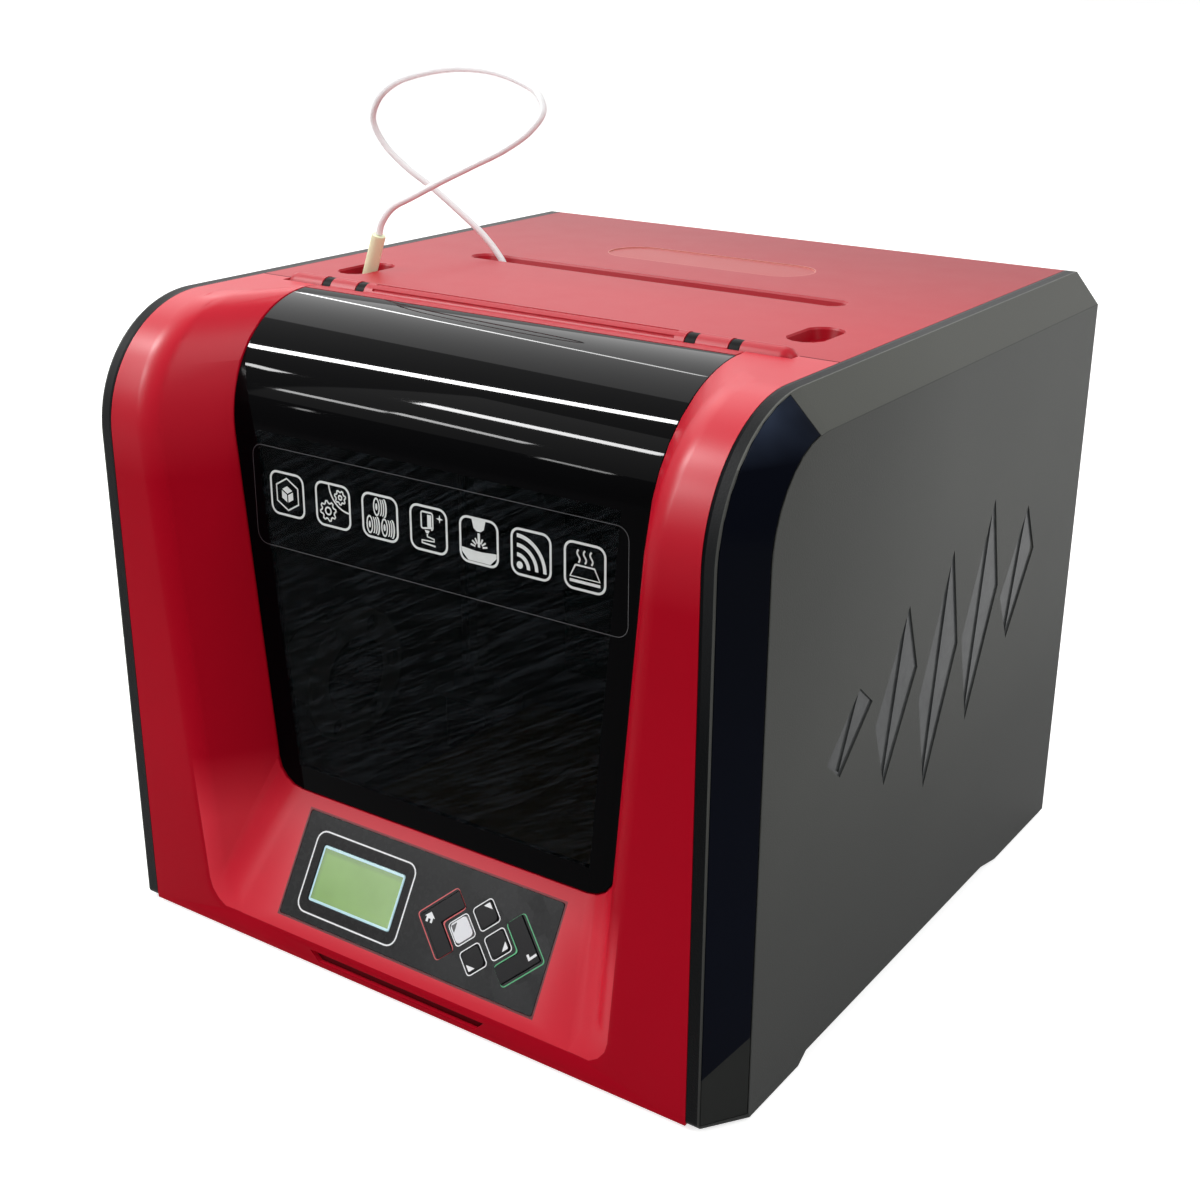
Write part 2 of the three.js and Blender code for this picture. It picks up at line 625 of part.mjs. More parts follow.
const keyRect = (grow) => roundRect(0, 0, keySize + 2 * grow, keySize + 2 * grow, keyCorner);
const diamond = (grow, from, to) => rotated(prism('z', keyRect(grow), from, to, fewSteps), 'z', Math.PI / 4);

// An arrowhead round the outer corner of the pad, its arms square to each other; side is -1 for left, 1 for right
function chevron(side, grow, from, to) {
  const outer = chevronOuter + grow * Math.SQRT2;
  const inner = chevronInner - grow * Math.SQRT2;
  const reach = chevronReach + grow;
  const tip = reach - (outer - inner) / 2;
  const outline = [[outer, 0], [outer - reach, reach], [inner - tip, tip], [inner, 0], [inner - tip, -tip],
    [outer - reach, -reach]].map(([x, y]) => [side * x, y]);
  return prism('z', polygon(outline), from, to);
}

const keys = {
  home: { at: [0, 0], make: (...size) => chevron(-1, ...size) },
  left: { at: [-keyPitch, 0], make: diamond },
  up: { at: [0, keyPitch], make: diamond },
  right: { at: [keyPitch, 0], make: diamond },
  down: { at: [0, -keyPitch], make: diamond },
  enter: { at: [0, 0], make: (...size) => chevron(1, ...size) },
};

function controlOverlay() {
  const sheet = prism('z', roundRect(0, panelMiddle, panelWidth, panelHeight, overlayCorner), -overlayThickness, 0,
    fewSteps);
  const window = prism('z', roundRect(displayX, displayUp, displayWidth, displayHeight, overlayCorner),
    -overlayThickness - overrun, overrun, 1);
  const holes = Object.values(keys).map(({ at, make }) =>
    moved(make(keyGap, -overlayThickness - overrun, overrun), padX + at[0], padUp + at[1], 0));
  return cut(sheet, window, ...holes);
}
addPiece('control_overlay', controlOverlay(), plastic(rubberBlack, 0.25), panel);

const flangeTop = -overlayThickness - gap;
for (const [name, { at, make }] of Object.entries(keys)) {
  const key = join(make(0, flangeTop - keyFlangeThickness / 2, keyProud),
    make(keyGap + keyFlange, flangeTop - keyFlangeThickness, flangeTop));
  const mesh = addPiece(`key_${name}`, key, plastic(rubberBlack, 0.3), panel);
  mesh.position.set(padX + at[0], padUp + at[1], 0);
}

// Display on its board, which also carries the key contacts
const displayFace = prism('z', roundRect(displayX, displayUp, displayWidth - 2 * gap, displayHeight - 2 * gap,
  overlayCorner), boardTop - boardThickness / 2, -gap, 1);
const displayBoard = prism('z', roundRect(0, panelMiddle, panelWidth - boardMargin, panelHeight - boardMargin,
  overlayCorner), boardTop - boardThickness, boardTop, 1);
addPiece('display_module', join(displayFace, displayBoard), plastic(displayGreen), panel);

// Chassis: a floor pan between two side walls, with the brackets that carry the motors, rods and idler
const motorHalf = motorSize / 2;
const motorFoot = floorTop + gap;
const motorTop = motorFoot + motorLength;
const pilotRadius = 11;
const pilotHeight = 2;
const bracketThickness = 3;
const rodSeatDepth = 6;
const rodSeatWidth = 16;
const bedRodFront = 54;
const bedRodInset = 13;
const bedRodBack = bodyDepth - bedRodInset;
const bedMotorInset = 28;
const bedMotorY = bodyDepth - bedMotorInset;
const bedMotorX = 12;
const idlerY = 66;
const idlerPost = 10;
const ventLength = 60;
const ventWidth = 5;
const ventPitch = 14;
const plateTop = motorTop + gap + bracketThickness;

function liftBracket() {
  const plate = box(liftScrewX - motorHalf, chassisHalf - chassisWall / 2, liftY - motorHalf, liftY + motorHalf,
    motorTop + gap, plateTop);
  const seat = rod('z', rodSeatWidth / 2 - gap, plateTop, plateTop + rodSeatDepth * 1.5, liftRodX, liftY);
  return cut(join(plate, seat), rod('z', pilotRadius, motorTop, plateTop + overrun, liftScrewX, liftY),
    rod('z', boreRadius, plateTop, plateTop + rodSeatDepth * 2, liftRodX, liftY));
}

function bedRodSeat(y, inwards) {
  const half = rodSeatWidth / 2;
  const block = box(bedRodX - half, bedRodX + half, y - bracketThickness, y + bracketThickness, floorTop - gap,
    bedRodZ + half);
  const bore = rod('y', boreRadius, y - (inwards > 0 ? 0 : bracketThickness + overrun),
    y + (inwards > 0 ? bracketThickness + overrun : 0), bedRodX, bedRodZ);
  return cut(block, bore);
}

function chassis() {
  const floor = box(-chassisHalf, chassisHalf, wall + gap, chassisBack, gap, floorTop);
  const side = box(chassisInner, chassisHalf, chassisFront, chassisBack, gap, chassisHeight);
  const vents = [];
  for (let i = -2; i <= 2; i++) {
    vents.push(prism('x', roundRect(bodyDepth - ventLength, chassisHeight / 2 + i * ventPitch, ventLength, ventWidth,
      ventWidth / 2), chassisInner - overrun, chassisHalf + overrun, 1));
  }
  const right = [cut(side, ...vents), liftBracket(), bedRodSeat(bedRodFront, 1), bedRodSeat(bedRodBack, -1)];
  const motorPlate = cut(box(bedMotorX - gap - bracketThickness, bedMotorX - gap, bedMotorY - motorHalf,
    bedMotorY + motorHalf, floorTop - gap, bedRodZ + motorHalf),
  rod('x', pilotRadius, bedMotorX - bracketThickness * 2, bedMotorX + overrun, bedMotorY, bedRodZ));
  const idlerStand = join(box(idlerPost - bracketThickness, idlerPost, idlerY - pulleyRadius, idlerY + pulleyRadius,
    floorTop - gap, bedRodZ + pulleyRadius), rod('x', pulleyRadius, -beltWidth / 2 - gap, idlerPost - bracketThickness / 2,
    idlerY, bedRodZ));
  return join(floor, ...right, ...right.map(mirrored), motorPlate, idlerStand);
}
addPiece('chassis', chassis(), metal(aluminium, 0.5));

// Rear cover with its vents, and openings for the power inlet and the data socket
const rearTop = bodyHeight - coverSkirt - gap;
const inletInset = 55.3;
const socketInset = 47.3;
const rearVentDrop = 89.7;
const boardReach = { outwards: 32, inwards: 33, rearRoom: 13.7 };
const inlet = { x: shellHalf - inletInset, z: 96, width: 48, height: 27, depth: 20, rim: 2, rimDepth: 1.6, well: 15 };
const socket = { x: socketInset - shellHalf, z: 26, width: 12, height: 11 };
const rearVent = { z: rearTop - rearVentDrop, count: 5, pitch: 12, length: 110, width: 4.5, x: 70 };
const boardPlace = { x0: socket.x - boardReach.outwards, x1: socket.x + boardReach.inwards, foot: 12, height: 100,
  y: chassisBack - boardReach.rearRoom, thickness: 1.6, standoff: 4, inset: 6 };
const boardHead = boardPlace.foot + boardPlace.height;

function rearCover() {
  const sheet = box(-shellHalf, shellHalf, bodyDepth - wall, bodyDepth, gap, rearTop);
  const holes = [
    prism('y', roundRect(inlet.x, inlet.z, inlet.width, inlet.height, wall), chassisBack, bodyDepth + overrun, fewSteps),
    prism('y', roundRect(socket.x, socket.z, socket.width + 2 * gap, socket.height + 2 * gap, gap * 2),
      chassisBack, bodyDepth + overrun, fewSteps),
    prism('y', roundRect(inlet.x, inlet.z, inlet.width + 2 * inlet.rim + 2 * gap, inlet.height + 2 * inlet.rim + 2 * gap,
      wall), bodyDepth - inlet.rimDepth, bodyDepth + overrun, fewSteps)];
  for (let i = 0; i < rearVent.count; i++) {
    for (const x of [-rearVent.x, rearVent.x]) {
      holes.push(prism('y', roundRect(x, rearVent.z + i * rearVent.pitch, rearVent.length, rearVent.width,
        rearVent.width / 2), chassisBack, bodyDepth + overrun, 1));
    }
  }
  const standoffs = [];
  for (const x of [boardPlace.x0 + boardPlace.inset, boardPlace.x1 - boardPlace.inset]) {
    for (const z of [boardPlace.foot + boardPlace.inset, boardHead - boardPlace.inset]) {
      standoffs.push(rod('y', boardPlace.standoff, boardPlace.y + boardPlace.thickness + gap, bodyDepth - wall / 2,
        x, z, smallSides / 2));
    }
  }
  return cut(join(sheet, ...standoffs), ...holes);
}
addPiece('rear_cover', rearCover(), plastic(darkPlastic, 0.6));

// Rubber feet
for (const [row, y] of [['front', footInset], ['rear', bodyDepth - footInset]]) {
  const foot = turned('z', [[0, -footHeight], [footRadius - 1.5 * gap, -footHeight], [footRadius, -footHeight / 2],
    [footRadius, 0], [0, 0]], shellHalf - footInset, y, smallSides);
  addPair(`foot_${row}`, foot, plastic(rubberBlack, 0.9));
}

// A stepper motor: square can with cut corners, round pilot and shaft, drawn with its shaft up
function motor(shaftLength) {
  const half = motorHalf;
  const outline = [];
  for (const [sx, sy] of [[1, 1], [-1, 1], [-1, -1], [1, -1]]) {
    const near = half - motorCorner;
    const pair = [[sx * half, sy * near], [sx * near, sy * half]];
    outline.push(...(sx * sy > 0 ? pair : pair.reverse()));
  }
  return join(prism('z', polygon(outline), 0, motorLength),
    rod('z', pilotRadius - gap, motorLength - pilotHeight, motorLength + pilotHeight, 0, 0),
    rod('z', shaftRadius, motorLength, motorLength + shaftLength, 0, 0, smallSides / 2));
}

// Lift: motor, coupling and lead screw, and a guide rod on each side
const couplingRadius = 7;
const couplingClearance = 1;
const couplingFoot = plateTop + couplingClearance;
const couplingLength = 18;
const shaftGrip = 9;
const bossTop = coverUnder - bossDepth + bossHoleDepth;
addPair('z_motor', moved(motor(couplingFoot + shaftGrip - motorTop), liftScrewX, liftY, motorFoot),
  metal(darkSteel, 0.5));
addPair('z_screw', cut(join(rod('z', screwRadius, couplingFoot + shaftGrip, bossTop - gap, liftScrewX, liftY),
  rod('z', couplingRadius, couplingFoot, couplingFoot + couplingLength, liftScrewX, liftY)),
rod('z', shaftRadius + gap, couplingFoot - overrun, couplingFoot + shaftGrip + gap, liftScrewX, liftY)),
metal(steel));
addPair('z_rod', rod('z', rodRadius, plateTop + gap, bossTop - gap, liftRodX, liftY), metal(steel, 0.2));

// Gantry: two ends that ride the rods and screws, joined by two cross rods, with the belt behind them
const gantry = new THREE.Group();
gantry.position.z = gantryZ;
machine.add(gantry);
const rodSeat = 8;
const endWeb = 3.5;
const beltSideRoom = 3;
const facePlate = 2.5;
const motorFaceY = beltY + beltWidth / 2 + gap + beltSideRoom;
const plateY = motorFaceY - gap - facePlate;

function gantryEnd(tool, extra) {
  const half = endHeight / 2;
  const body = box(endIn, endOut, endFront, endBack, -half, half);
  const web = box(endOut - endWeb, endOut, endBack - overrun, motorFaceY - gap, -motorHalf, motorHalf);
  const plate = box(beltX - motorHalf, endOut, plateY, motorFaceY - gap, -motorHalf, motorHalf);
  const bores = [rod('z', screwRadius + gap, -half - overrun, half + overrun, liftScrewX, liftY),
    rod('z', boreRadius, -half - overrun, half + overrun, liftRodX, liftY)];
  for (const z of [-crossRodSpan / 2, crossRodSpan / 2]) {
    bores.push(rod('x', boreRadius, endIn - overrun, endIn + rodSeat, crossRodY, z));
  }
  return cut(join(body, web, plate, ...extra), ...bores, ...tool);
}
const idlerBoss = rod('y', pulleyRadius, endBack - overrun, plateY + gap, beltX, 0);
addPiece('x_end_right', gantryEnd([], [idlerBoss]), plastic(darkPlastic), gantry);
const pilotHole = rod('y', pilotRadius, plateY - overrun, motorFaceY + overrun, beltX, 0);
addPiece('x_end_left', mirrored(gantryEnd([pilotHole], [])), plastic(darkPlastic), gantry);

const crossRodEnd = endIn + rodSeat - gap;
for (const [name, z] of [['upper', crossRodSpan / 2], ['lower', -crossRodSpan / 2]]) {
  addPiece(`x_rod_${name}`, rod('x', rodRadius, -crossRodEnd, crossRodEnd, crossRodY, z), metal(steel, 0.2), gantry);
}
const pulleyFlange = 2.5;
const pulleyFoot = beltY - beltWidth / 2 - gap;

// A flanged pulley drawn with its motor side up, from -length to 0
function pulley(length) {
  return cut(join(rod('z', pulleyRadius, -length, 0, 0, 0), rod('z', pulleyRadius + pulleyFlange, -length,
    -length + bracketThickness / 2, 0, 0)), rod('z', shaftRadius + gap, -length - overrun, overrun, 0, 0));
}
const xPulleyLength = plateY - gap - endBack - gap;
addPiece('x_motor', moved(rotated(motor(motorFaceY - endBack - 2 * gap), 'x', Math.PI / 2), -beltX,
  motorFaceY + motorLength, 0), metal(darkSteel, 0.5), gantry);
addPiece('x_pulley', moved(rotated(pulley(xPulleyLength), 'x', -Math.PI / 2), -beltX, plateY - gap, 0),
  metal(aluminium), gantry);

// A belt loop drawn flat: round the origin and a point at a distance along x, from one edge to the other
function beltLoop(distance) {
  const loop = (radius) => roundRect(distance / 2, 0, distance + 2 * radius, 2 * radius, radius);
  const inner = pulleyRadius + gap;
  const shape = loop(inner + beltThickness);
  const whole = prism('z', shape, -beltWidth / 2, beltWidth / 2);
  return whole.subtract(prism('z', loop(inner), -beltWidth, beltWidth));
}
addPiece('x_belt', moved(rotated(beltLoop(2 * beltX), 'x', Math.PI / 2), -beltX, beltY, 0),
  plastic(rubberBlack, 0.8), gantry);

// Head: a carriage on the cross rods, gripping the belt, with the housing, fan, nozzle and tube stub before it
const head = new THREE.Group();
head.position.x = headRest;
gantry.add(head);
const carriageHalf = 24;
const carriageFrontDepth = 7.5;
const carriageBackDepth = 8;
const carriageFront = crossRodY - carriageFrontDepth;
const carriageBack = crossRodY + carriageBackDepth;
const carriageRise = 32;
const tongueHalf = 9;
const beltRun = pulleyRadius + gap;

function headCarriage() {
  const body = prism('y', roundRect(0, 0, 2 * carriageHalf, 2 * carriageRise, wall), carriageFront, carriageBack, fewSteps);
  const clampTop = -beltRun + beltThickness;
  const clampFoot = -beltRun - 2 * beltThickness;
  const tongue = box(-tongueHalf, tongueHalf, carriageBack - overrun, beltY + beltWidth / 2 + overrun, clampFoot, clampTop);
  const slot = box(-tongueHalf - overrun, tongueHalf + overrun, beltY - beltWidth / 2 - gap, beltY + beltWidth / 2 + gap,
    -beltRun - beltThickness - gap, -beltRun + gap);
  const bores = [-1, 1].map((side) => rod('x', boreRadius, -carriageHalf - overrun, carriageHalf + overrun, crossRodY,
    side * crossRodSpan / 2));
  return cut(join(body, tongue), slot, ...bores);
}
addPiece('x_carriage', headCarriage(), plastic(darkPlastic), head);

const housingReach = 19.5;
const nozzleReach = 14;
const housing = { half: 25, front: headY - housingReach, back: carriageFront - gap, foot: nozzleReach - nozzleToGantry, top: 36, corner: 5 };
const fan = { radius: 17, depth: 9, z: 8, shaft: 1.5, hub: 6, blades: 7, bladeThickness: 1.2, pitch: Math.PI / 6, inset: 1,
  rootShare: 0.8 };
const collet = { radius: 5, height: 8, bore: 5 };
const tubeRadius = 2;

function headHousing() {
  const body = prism('z', roundRect(0, (housing.front + housing.back) / 2, 2 * housing.half,
    housing.back - housing.front, housing.corner), housing.foot, housing.top, fewSteps);
  const chamfer = prism('x', polygon([[housing.front - overrun, housing.foot - overrun],
    [housing.front + housing.corner * 2, housing.foot - overrun], [housing.front - overrun,
      housing.foot + housing.corner * 2]]), -housing.half - overrun, housing.half + overrun);
  const well = rod('y', fan.radius + gap, housing.front - overrun, housing.front + fan.depth, 0, fan.z, roundSides);
  const pin = rod('y', fan.shaft, housing.front + fan.inset, housing.front + fan.depth + overrun, 0, fan.z,
    smallSides / 2);
  const neck = rod('z', collet.radius, housing.top - overrun, housing.top + collet.height, 0, headY);
  const tubeBore = rod('z', tubeRadius + gap, housing.top + collet.height - collet.bore, housing.top + collet.height
    + overrun, 0, headY, smallSides / 2);
  return cut(join(cut(body, chamfer, well), pin, neck), tubeBore);
}
addPiece('head_housing', headHousing(), plastic(darkPlastic), head);

function headFan() {
  const depth = fan.depth - fan.inset - 2 * gap;
  const hub = rod('z', fan.hub, 0, depth, 0, 0);
  const flat = box(fan.hub * fan.rootShare, fan.radius - gap, -fan.bladeThickness / 2, fan.bladeThickness / 2,
    -depth / 2, depth / 2);
  const blade = moved(rotated(flat, 'x', fan.pitch), 0, 0, depth / 2);
  const blades = [];
  for (let i = 0; i < fan.blades; i++) blades.push(rotated(blade, 'z', 2 * Math.PI * i / fan.blades));
  const rotor = cut(join(hub, ...blades), rod('z', fan.shaft + gap, -overrun, depth + overrun, 0, 0, smallSides / 2));
  return moved(rotated(rotor, 'x', -Math.PI / 2), 0, housing.front + fan.inset, fan.z);
}
addPiece('head_fan', headFan(), plastic(rubberBlack), head);

const nozzle = { tip: 0.8, cone: 3.5, coneHeight: 3.5, blockFoot: 5, blockTop: 13, blockX: 10, blockY: 8, sunk: 1 };
const nozzleFoot = -nozzleToGantry;
const neckRadius = 3;
addPiece('nozzle', join(turned('z', [[0, nozzleFoot], [nozzle.tip, nozzleFoot],
  [nozzle.cone, nozzleFoot + nozzle.coneHeight], [nozzle.cone, nozzleFoot + nozzle.blockFoot + nozzle.sunk],
  [0, nozzleFoot + nozzle.blockFoot + nozzle.sunk]], 0, headY, smallSides),
box(-nozzle.blockX, nozzle.blockX, headY - nozzle.blockY, headY + nozzle.blockY, nozzleFoot + nozzle.blockFoot,
  nozzleFoot + nozzle.blockTop - gap),
rod('z', neckRadius, nozzleFoot + nozzle.blockTop - wall, housing.foot - gap, 0, headY)), metal(0xb08d4a), head);

// Guide tube: it stands up from the feeder's fitting, loops once and drops into the slot, above the stub on the head
const tubeEnd = bodyHeight - slotDepth - overrun;
addPiece('head_tube', rod('z', tubeRadius, housing.top + collet.height - collet.bore + gap, tubeEnd - gap - gantryZ, 0,
  headY, smallSides / 2), plastic(tubeWhite, 0.4), head);

const fittingOutset = 1.5;
const fittingDrop = 10;
const fitting = { x: -pocketX - fittingOutset, y: pocketY, z: coverUnder - fittingDrop, lean: Math.PI / 9, length: 36,
  radius: 4.2, seat: 6, bossRadius: 7, bossLength: 14, bossProud: 0.5, straight: 7 };
const leaned = (solid) => moved(rotated(solid, 'y', fitting.lean), fitting.x, fitting.y, fitting.z);
addPiece('tube_fitting', leaned(cut(rod('z', fitting.radius, -fitting.seat + gap, fitting.length, 0, 0))),
  plastic(tan, 0.5));

const feeder = { width: 43, length: 40, behindFitting: 2, drop: 18, height: 36, corner: 5 };

function feederHousing() {
  const top = coverUnder - feeder.drop;
  const body = prism('z', roundRect(gap - chassisInner + feeder.width / 2, fitting.y + feeder.behindFitting,
    feeder.width, feeder.length, feeder.corner), top - feeder.height, top, fewSteps);
  return cut(join(body, leaned(rod('z', fitting.bossRadius, -fitting.bossLength, fitting.bossProud, 0, 0))),
    leaned(rod('z', fitting.radius + gap, -fitting.seat, fitting.length, 0, 0)));
}
addPiece('feeder_housing', feederHousing(), plastic(darkPlastic));

const fittingTop = (distance) => [fitting.x + distance * Math.sin(fitting.lean), fitting.y,
  fitting.z + distance * Math.cos(fitting.lean)];
const tubeRoute = [
  fittingTop(fitting.length + gap), fittingTop(fitting.length + fitting.straight), [-129, 169, 395], [-115, 171, 402.5],
  [-97, 174.5, 412], [-77, 179, 422], [-57, 183, 432], [-42, 187, 443], [-36, 190.5, 453], [-41.5, 193.5, 461.5],
  [-57, 197, 467.5], [-80, 201, 471.5], [-107.5, 206, 471.5], [-136.5, 211.5, 467.5], [-164, 216, 460],
  [-182, 220, 449], [-189.5, 223, 436.5], [-185, 226.5, 423], [-171, 230, 409.5], [-153.5, 234.5, 397.5],
  [-136, 238, 384.5], [-120.5, 241, 372], [-110.5, 243, 361], [-105, slotY, 353], [headRest, slotY, tubeEnd],
];
const tubeSteps = 41;
const tubeSides = 8;

function guideTube() {
  const path = new THREE.CatmullRomCurve3(tubeRoute.map((p) => new THREE.Vector3(...p)), false, 'centripetal');
  const section = [];
  for (let i = 0; i < tubeSides; i++) {
    const angle = 2 * Math.PI * i / tubeSides;
    section.push([tubeRadius * Math.cos(angle), tubeRadius * Math.sin(angle)]);
  }
  return toSolid(new THREE.ExtrudeGeometry(polygon(section), { extrudePath: path, steps: tubeSteps,
    bevelEnabled: false }));
}
addPiece('guide_tube', guideTube(), plastic(tubeWhite, 0.35));

// Bed: two rods along the machine, a carriage on them, the heated bed on its posts and the print surface
const carriageLength = 90;
const carriageWidth = 168;
const carriageFoot = 38;
const plateThickness = 4;
const bearingHalf = 9;
const bearingLength = 20;
const bearingY = 32;
const postRadius = 4;
const postX = 76;
const postY = 36;
const windowSill = 1;
const surfaceThickness = 2.2;
const heaterThickness = 3.5;
const heaterFoot = bedTop - surfaceThickness - gap - heaterThickness;
addPair('y_rod', rod('y', rodRadius, bedRodFront + gap, bedRodBack - gap, bedRodX, bedRodZ), metal(steel, 0.2));

const bed = new THREE.Group();
bed.position.y = bedRest;
machine.add(bed);

function bedCarriage() {
  const plate = prism('z', roundRect(0, 0, carriageWidth, carriageLength, wall), carriageFoot,
    carriageFoot + plateThickness, fewSteps);
  const quarter = join(box(bedRodX - bearingHalf, bedRodX + bearingHalf, bearingY - bearingLength / 2,
    bearingY + bearingLength / 2, bedRodZ - bearingHalf, carriageFoot + overrun),
  rod('z', postRadius, carriageFoot + plateThickness / 2, heaterFoot - gap, postX, postY, smallSides / 2));
  const half = [quarter, mirrored(quarter)];
  const clamp = box(-beltWidth, beltWidth, -bearingLength / 2, bearingLength / 2, bedRodZ + pulleyRadius - overrun,
    carriageFoot + overrun);
  const slot = box(-beltWidth / 2 - gap, beltWidth / 2 + gap, -bearingLength, bearingLength, bedRodZ + beltRun - gap,
    bedRodZ + beltRun + beltThickness + gap);
  const bore = rod('y', boreRadius, -carriageLength, carriageLength, bedRodX, bedRodZ);
  const window = prism('z', roundRect(0, 0, bedRodX, bearingY, wall), carriageFoot + plateThickness - windowSill,
    carriageFoot + plateThickness + overrun, fewSteps);
  return cut(join(plate, ...half, ...half.map(mirroredRear), clamp), slot, bore, mirrored(bore), window);
}
addPiece('bed_carriage', bedCarriage(), metal(aluminium, 0.5), bed);
addPiece('heated_bed', prism('z', roundRect(0, 0, bedWidth, bedDepth, wall), heaterFoot, heaterFoot + heaterThickness,
  fewSteps), metal(aluminium, 0.4), bed);
addPiece('print_surface', prism('z', roundRect(0, 0, bedWidth - wall, bedDepth - wall, wall), bedTop - surfaceThickness,
  bedTop, fewSteps), plastic(bedTape, 0.8), bed);

const bedBeltLength = bedMotorY - idlerY;
const shaftPastBelt = 1;
addPiece('y_motor', moved(rotated(motor(bedMotorX + beltWidth / 2 + shaftPastBelt), 'y', -Math.PI / 2), bedMotorX + motorLength,
  bedMotorY, bedRodZ), metal(darkSteel, 0.5));
const bedPulleyX = bedMotorX - bracketThickness - 2 * gap;
addPiece('y_pulley', moved(rotated(pulley(bedPulleyX + beltWidth / 2 + gap + bracketThickness / 2), 'y', Math.PI / 2),
  bedPulleyX, bedMotorY, bedRodZ), metal(aluminium));
const bedBelt = rotated(rotated(beltLoop(bedBeltLength), 'x', Math.PI / 2), 'z', Math.PI / 2);
addPiece('y_belt', moved(bedBelt, 0, idlerY, bedRodZ), plastic(rubberBlack, 0.8));

// Spool holder on the left wall: a fixed axle and a hub that turns on it
const spool = { y: 129, z: 112, plate: 22, plateThickness: 4, axle: 8, drum: 26, rim: 43, rimThickness: 4,
  length: 43, holes: 6, hole: 6, holeAt: 34 };
const spoolPlateX = chassisInner - gap;
const spoolTip = spoolPlateX - spool.length;
addPiece('spool_bracket', mirrored(join(rod('x', spool.plate, spoolPlateX - spool.plateThickness, spoolPlateX, spool.y,
  spool.z), rod('x', spool.axle, spoolTip + wall, spoolPlateX - overrun, spool.y, spool.z))), plastic(darkPlastic));

function spoolHub() {
  const start = spoolTip;
  const drumEnd = spoolPlateX - spool.plateThickness - gap;
  const drum = rod('x', spool.drum, start, drumEnd, spool.y, spool.z, roundSides);
  const rim = rod('x', spool.rim, start, start + spool.rimThickness, spool.y, spool.z, roundSides);
  const bore = rod('x', spool.axle + gap, start + spool.rimThickness / 2, drumEnd + overrun, spool.y, spool.z);
  const holes = [];
  for (let i = 0; i < spool.holes; i++) {
    const angle = 2 * Math.PI * i / spool.holes;
    holes.push(rod('x', spool.hole, start - overrun, start + spool.rimThickness + overrun,
      spool.y + spool.holeAt * Math.cos(angle), spool.z + spool.holeAt * Math.sin(angle), smallSides / 2));
  }
  return cut(join(drum, rim), bore, ...holes);
}
addPiece('spool_hub', mirrored(spoolHub()), plastic(0xc9c9c6));

// Power and control: a supply in the rear corner, the main board, the inlet with its rocker
const supply = { width: 72, length: 92, height: 60.4, rearRoom: 7.7, lip: 4 };

function powerSupply() {
  const right = chassisInner - wall - gap;
  const rear = chassisBack - supply.rearRoom;
  const [left, front, foot] = [right - supply.width, rear - supply.length, floorTop + gap];
  const top = foot + supply.height;
  return join(box(left, right, front, rear, foot, top),
    box(left + supply.lip, right - supply.lip, front + supply.lip, rear - supply.lip, top - gap, top + supply.lip / 2));
}
addPiece('power_supply', powerSupply(), metal(aluminium, 0.45));

const boardBack = boardPlace.y + boardPlace.thickness;
addPiece('main_board', join(box(boardPlace.x0, boardPlace.x1, boardPlace.y, boardBack, boardPlace.foot, boardHead),
  box(socket.x - socket.width / 2, socket.x + socket.width / 2, boardBack - gap, bodyDepth - gap,
    socket.z - socket.height / 2, socket.z + socket.height / 2),
  box(boardPlace.x0 + boardPlace.inset * 2, boardPlace.x1 - boardPlace.inset * 2, boardPlace.y - boardPlace.inset,
    boardPlace.y + gap, boardHead - boardPlace.inset * 6, boardHead - boardPlace.inset * 2)),
plastic(boardGreen, 0.5));

const rocker = { width: 10, height: 18, offset: 15, depth: 5.4, proud: 1.5, dip: 1.4, root: 4, rootShare: 0.7,
  pivot: 1.2, travel: THREE.MathUtils.degToRad(14) };
const plugWell = { offset: 8.5, width: 24, height: 16.5, corner: 2, pinPitch: 7, pinRise: 3.5, pinWidth: 2, pinHeight: 4 };
const rockerX = inlet.x - rocker.offset;
const wellX = inlet.x + plugWell.offset;
const rockerY = bodyDepth - inlet.rimDepth - rocker.depth;

function powerInlet() {
  const body = prism('y', roundRect(inlet.x, inlet.z, inlet.width - 2 * gap, inlet.height - 2 * gap, wall),
    bodyDepth - inlet.depth, bodyDepth - inlet.rimDepth / 2, fewSteps);
  const rim = prism('y', roundRect(inlet.x, inlet.z, inlet.width + 2 * inlet.rim, inlet.height + 2 * inlet.rim, wall),
    bodyDepth - inlet.rimDepth + gap, bodyDepth, fewSteps);
  const well = prism('y', roundRect(wellX, inlet.z, plugWell.width, plugWell.height, plugWell.corner),
    bodyDepth - inlet.well, bodyDepth + overrun, fewSteps);
  const rockerWell = box(rockerX - rocker.width / 2 - gap, rockerX + rocker.width / 2 + gap,
    bodyDepth - inlet.well, bodyDepth + overrun, inlet.z - rocker.height / 2 - 2 * gap, inlet.z + rocker.height / 2 + 2 * gap);
  const pinPlaces = [[-plugWell.pinPitch, 0], [0, plugWell.pinRise], [plugWell.pinPitch, 0]];
  const pins = pinPlaces.map(([across, up]) => box(wellX + across - plugWell.pinWidth / 2,
    wellX + across + plugWell.pinWidth / 2, bodyDepth - inlet.well - overrun, bodyDepth - wall,
    inlet.z + up - plugWell.pinHeight / 2, inlet.z + up + plugWell.pinHeight / 2));
  const trunnion = rod('x', rocker.pivot, rockerX - rocker.width / 2 - overrun, rockerX + rocker.width / 2 + overrun, rockerY,
    inlet.z, smallSides / 2);
  return join(cut(join(body, rim), well, rockerWell), ...pins, trunnion);
}
addPiece('power_inlet', powerInlet(), plastic(rubberBlack, 0.4));

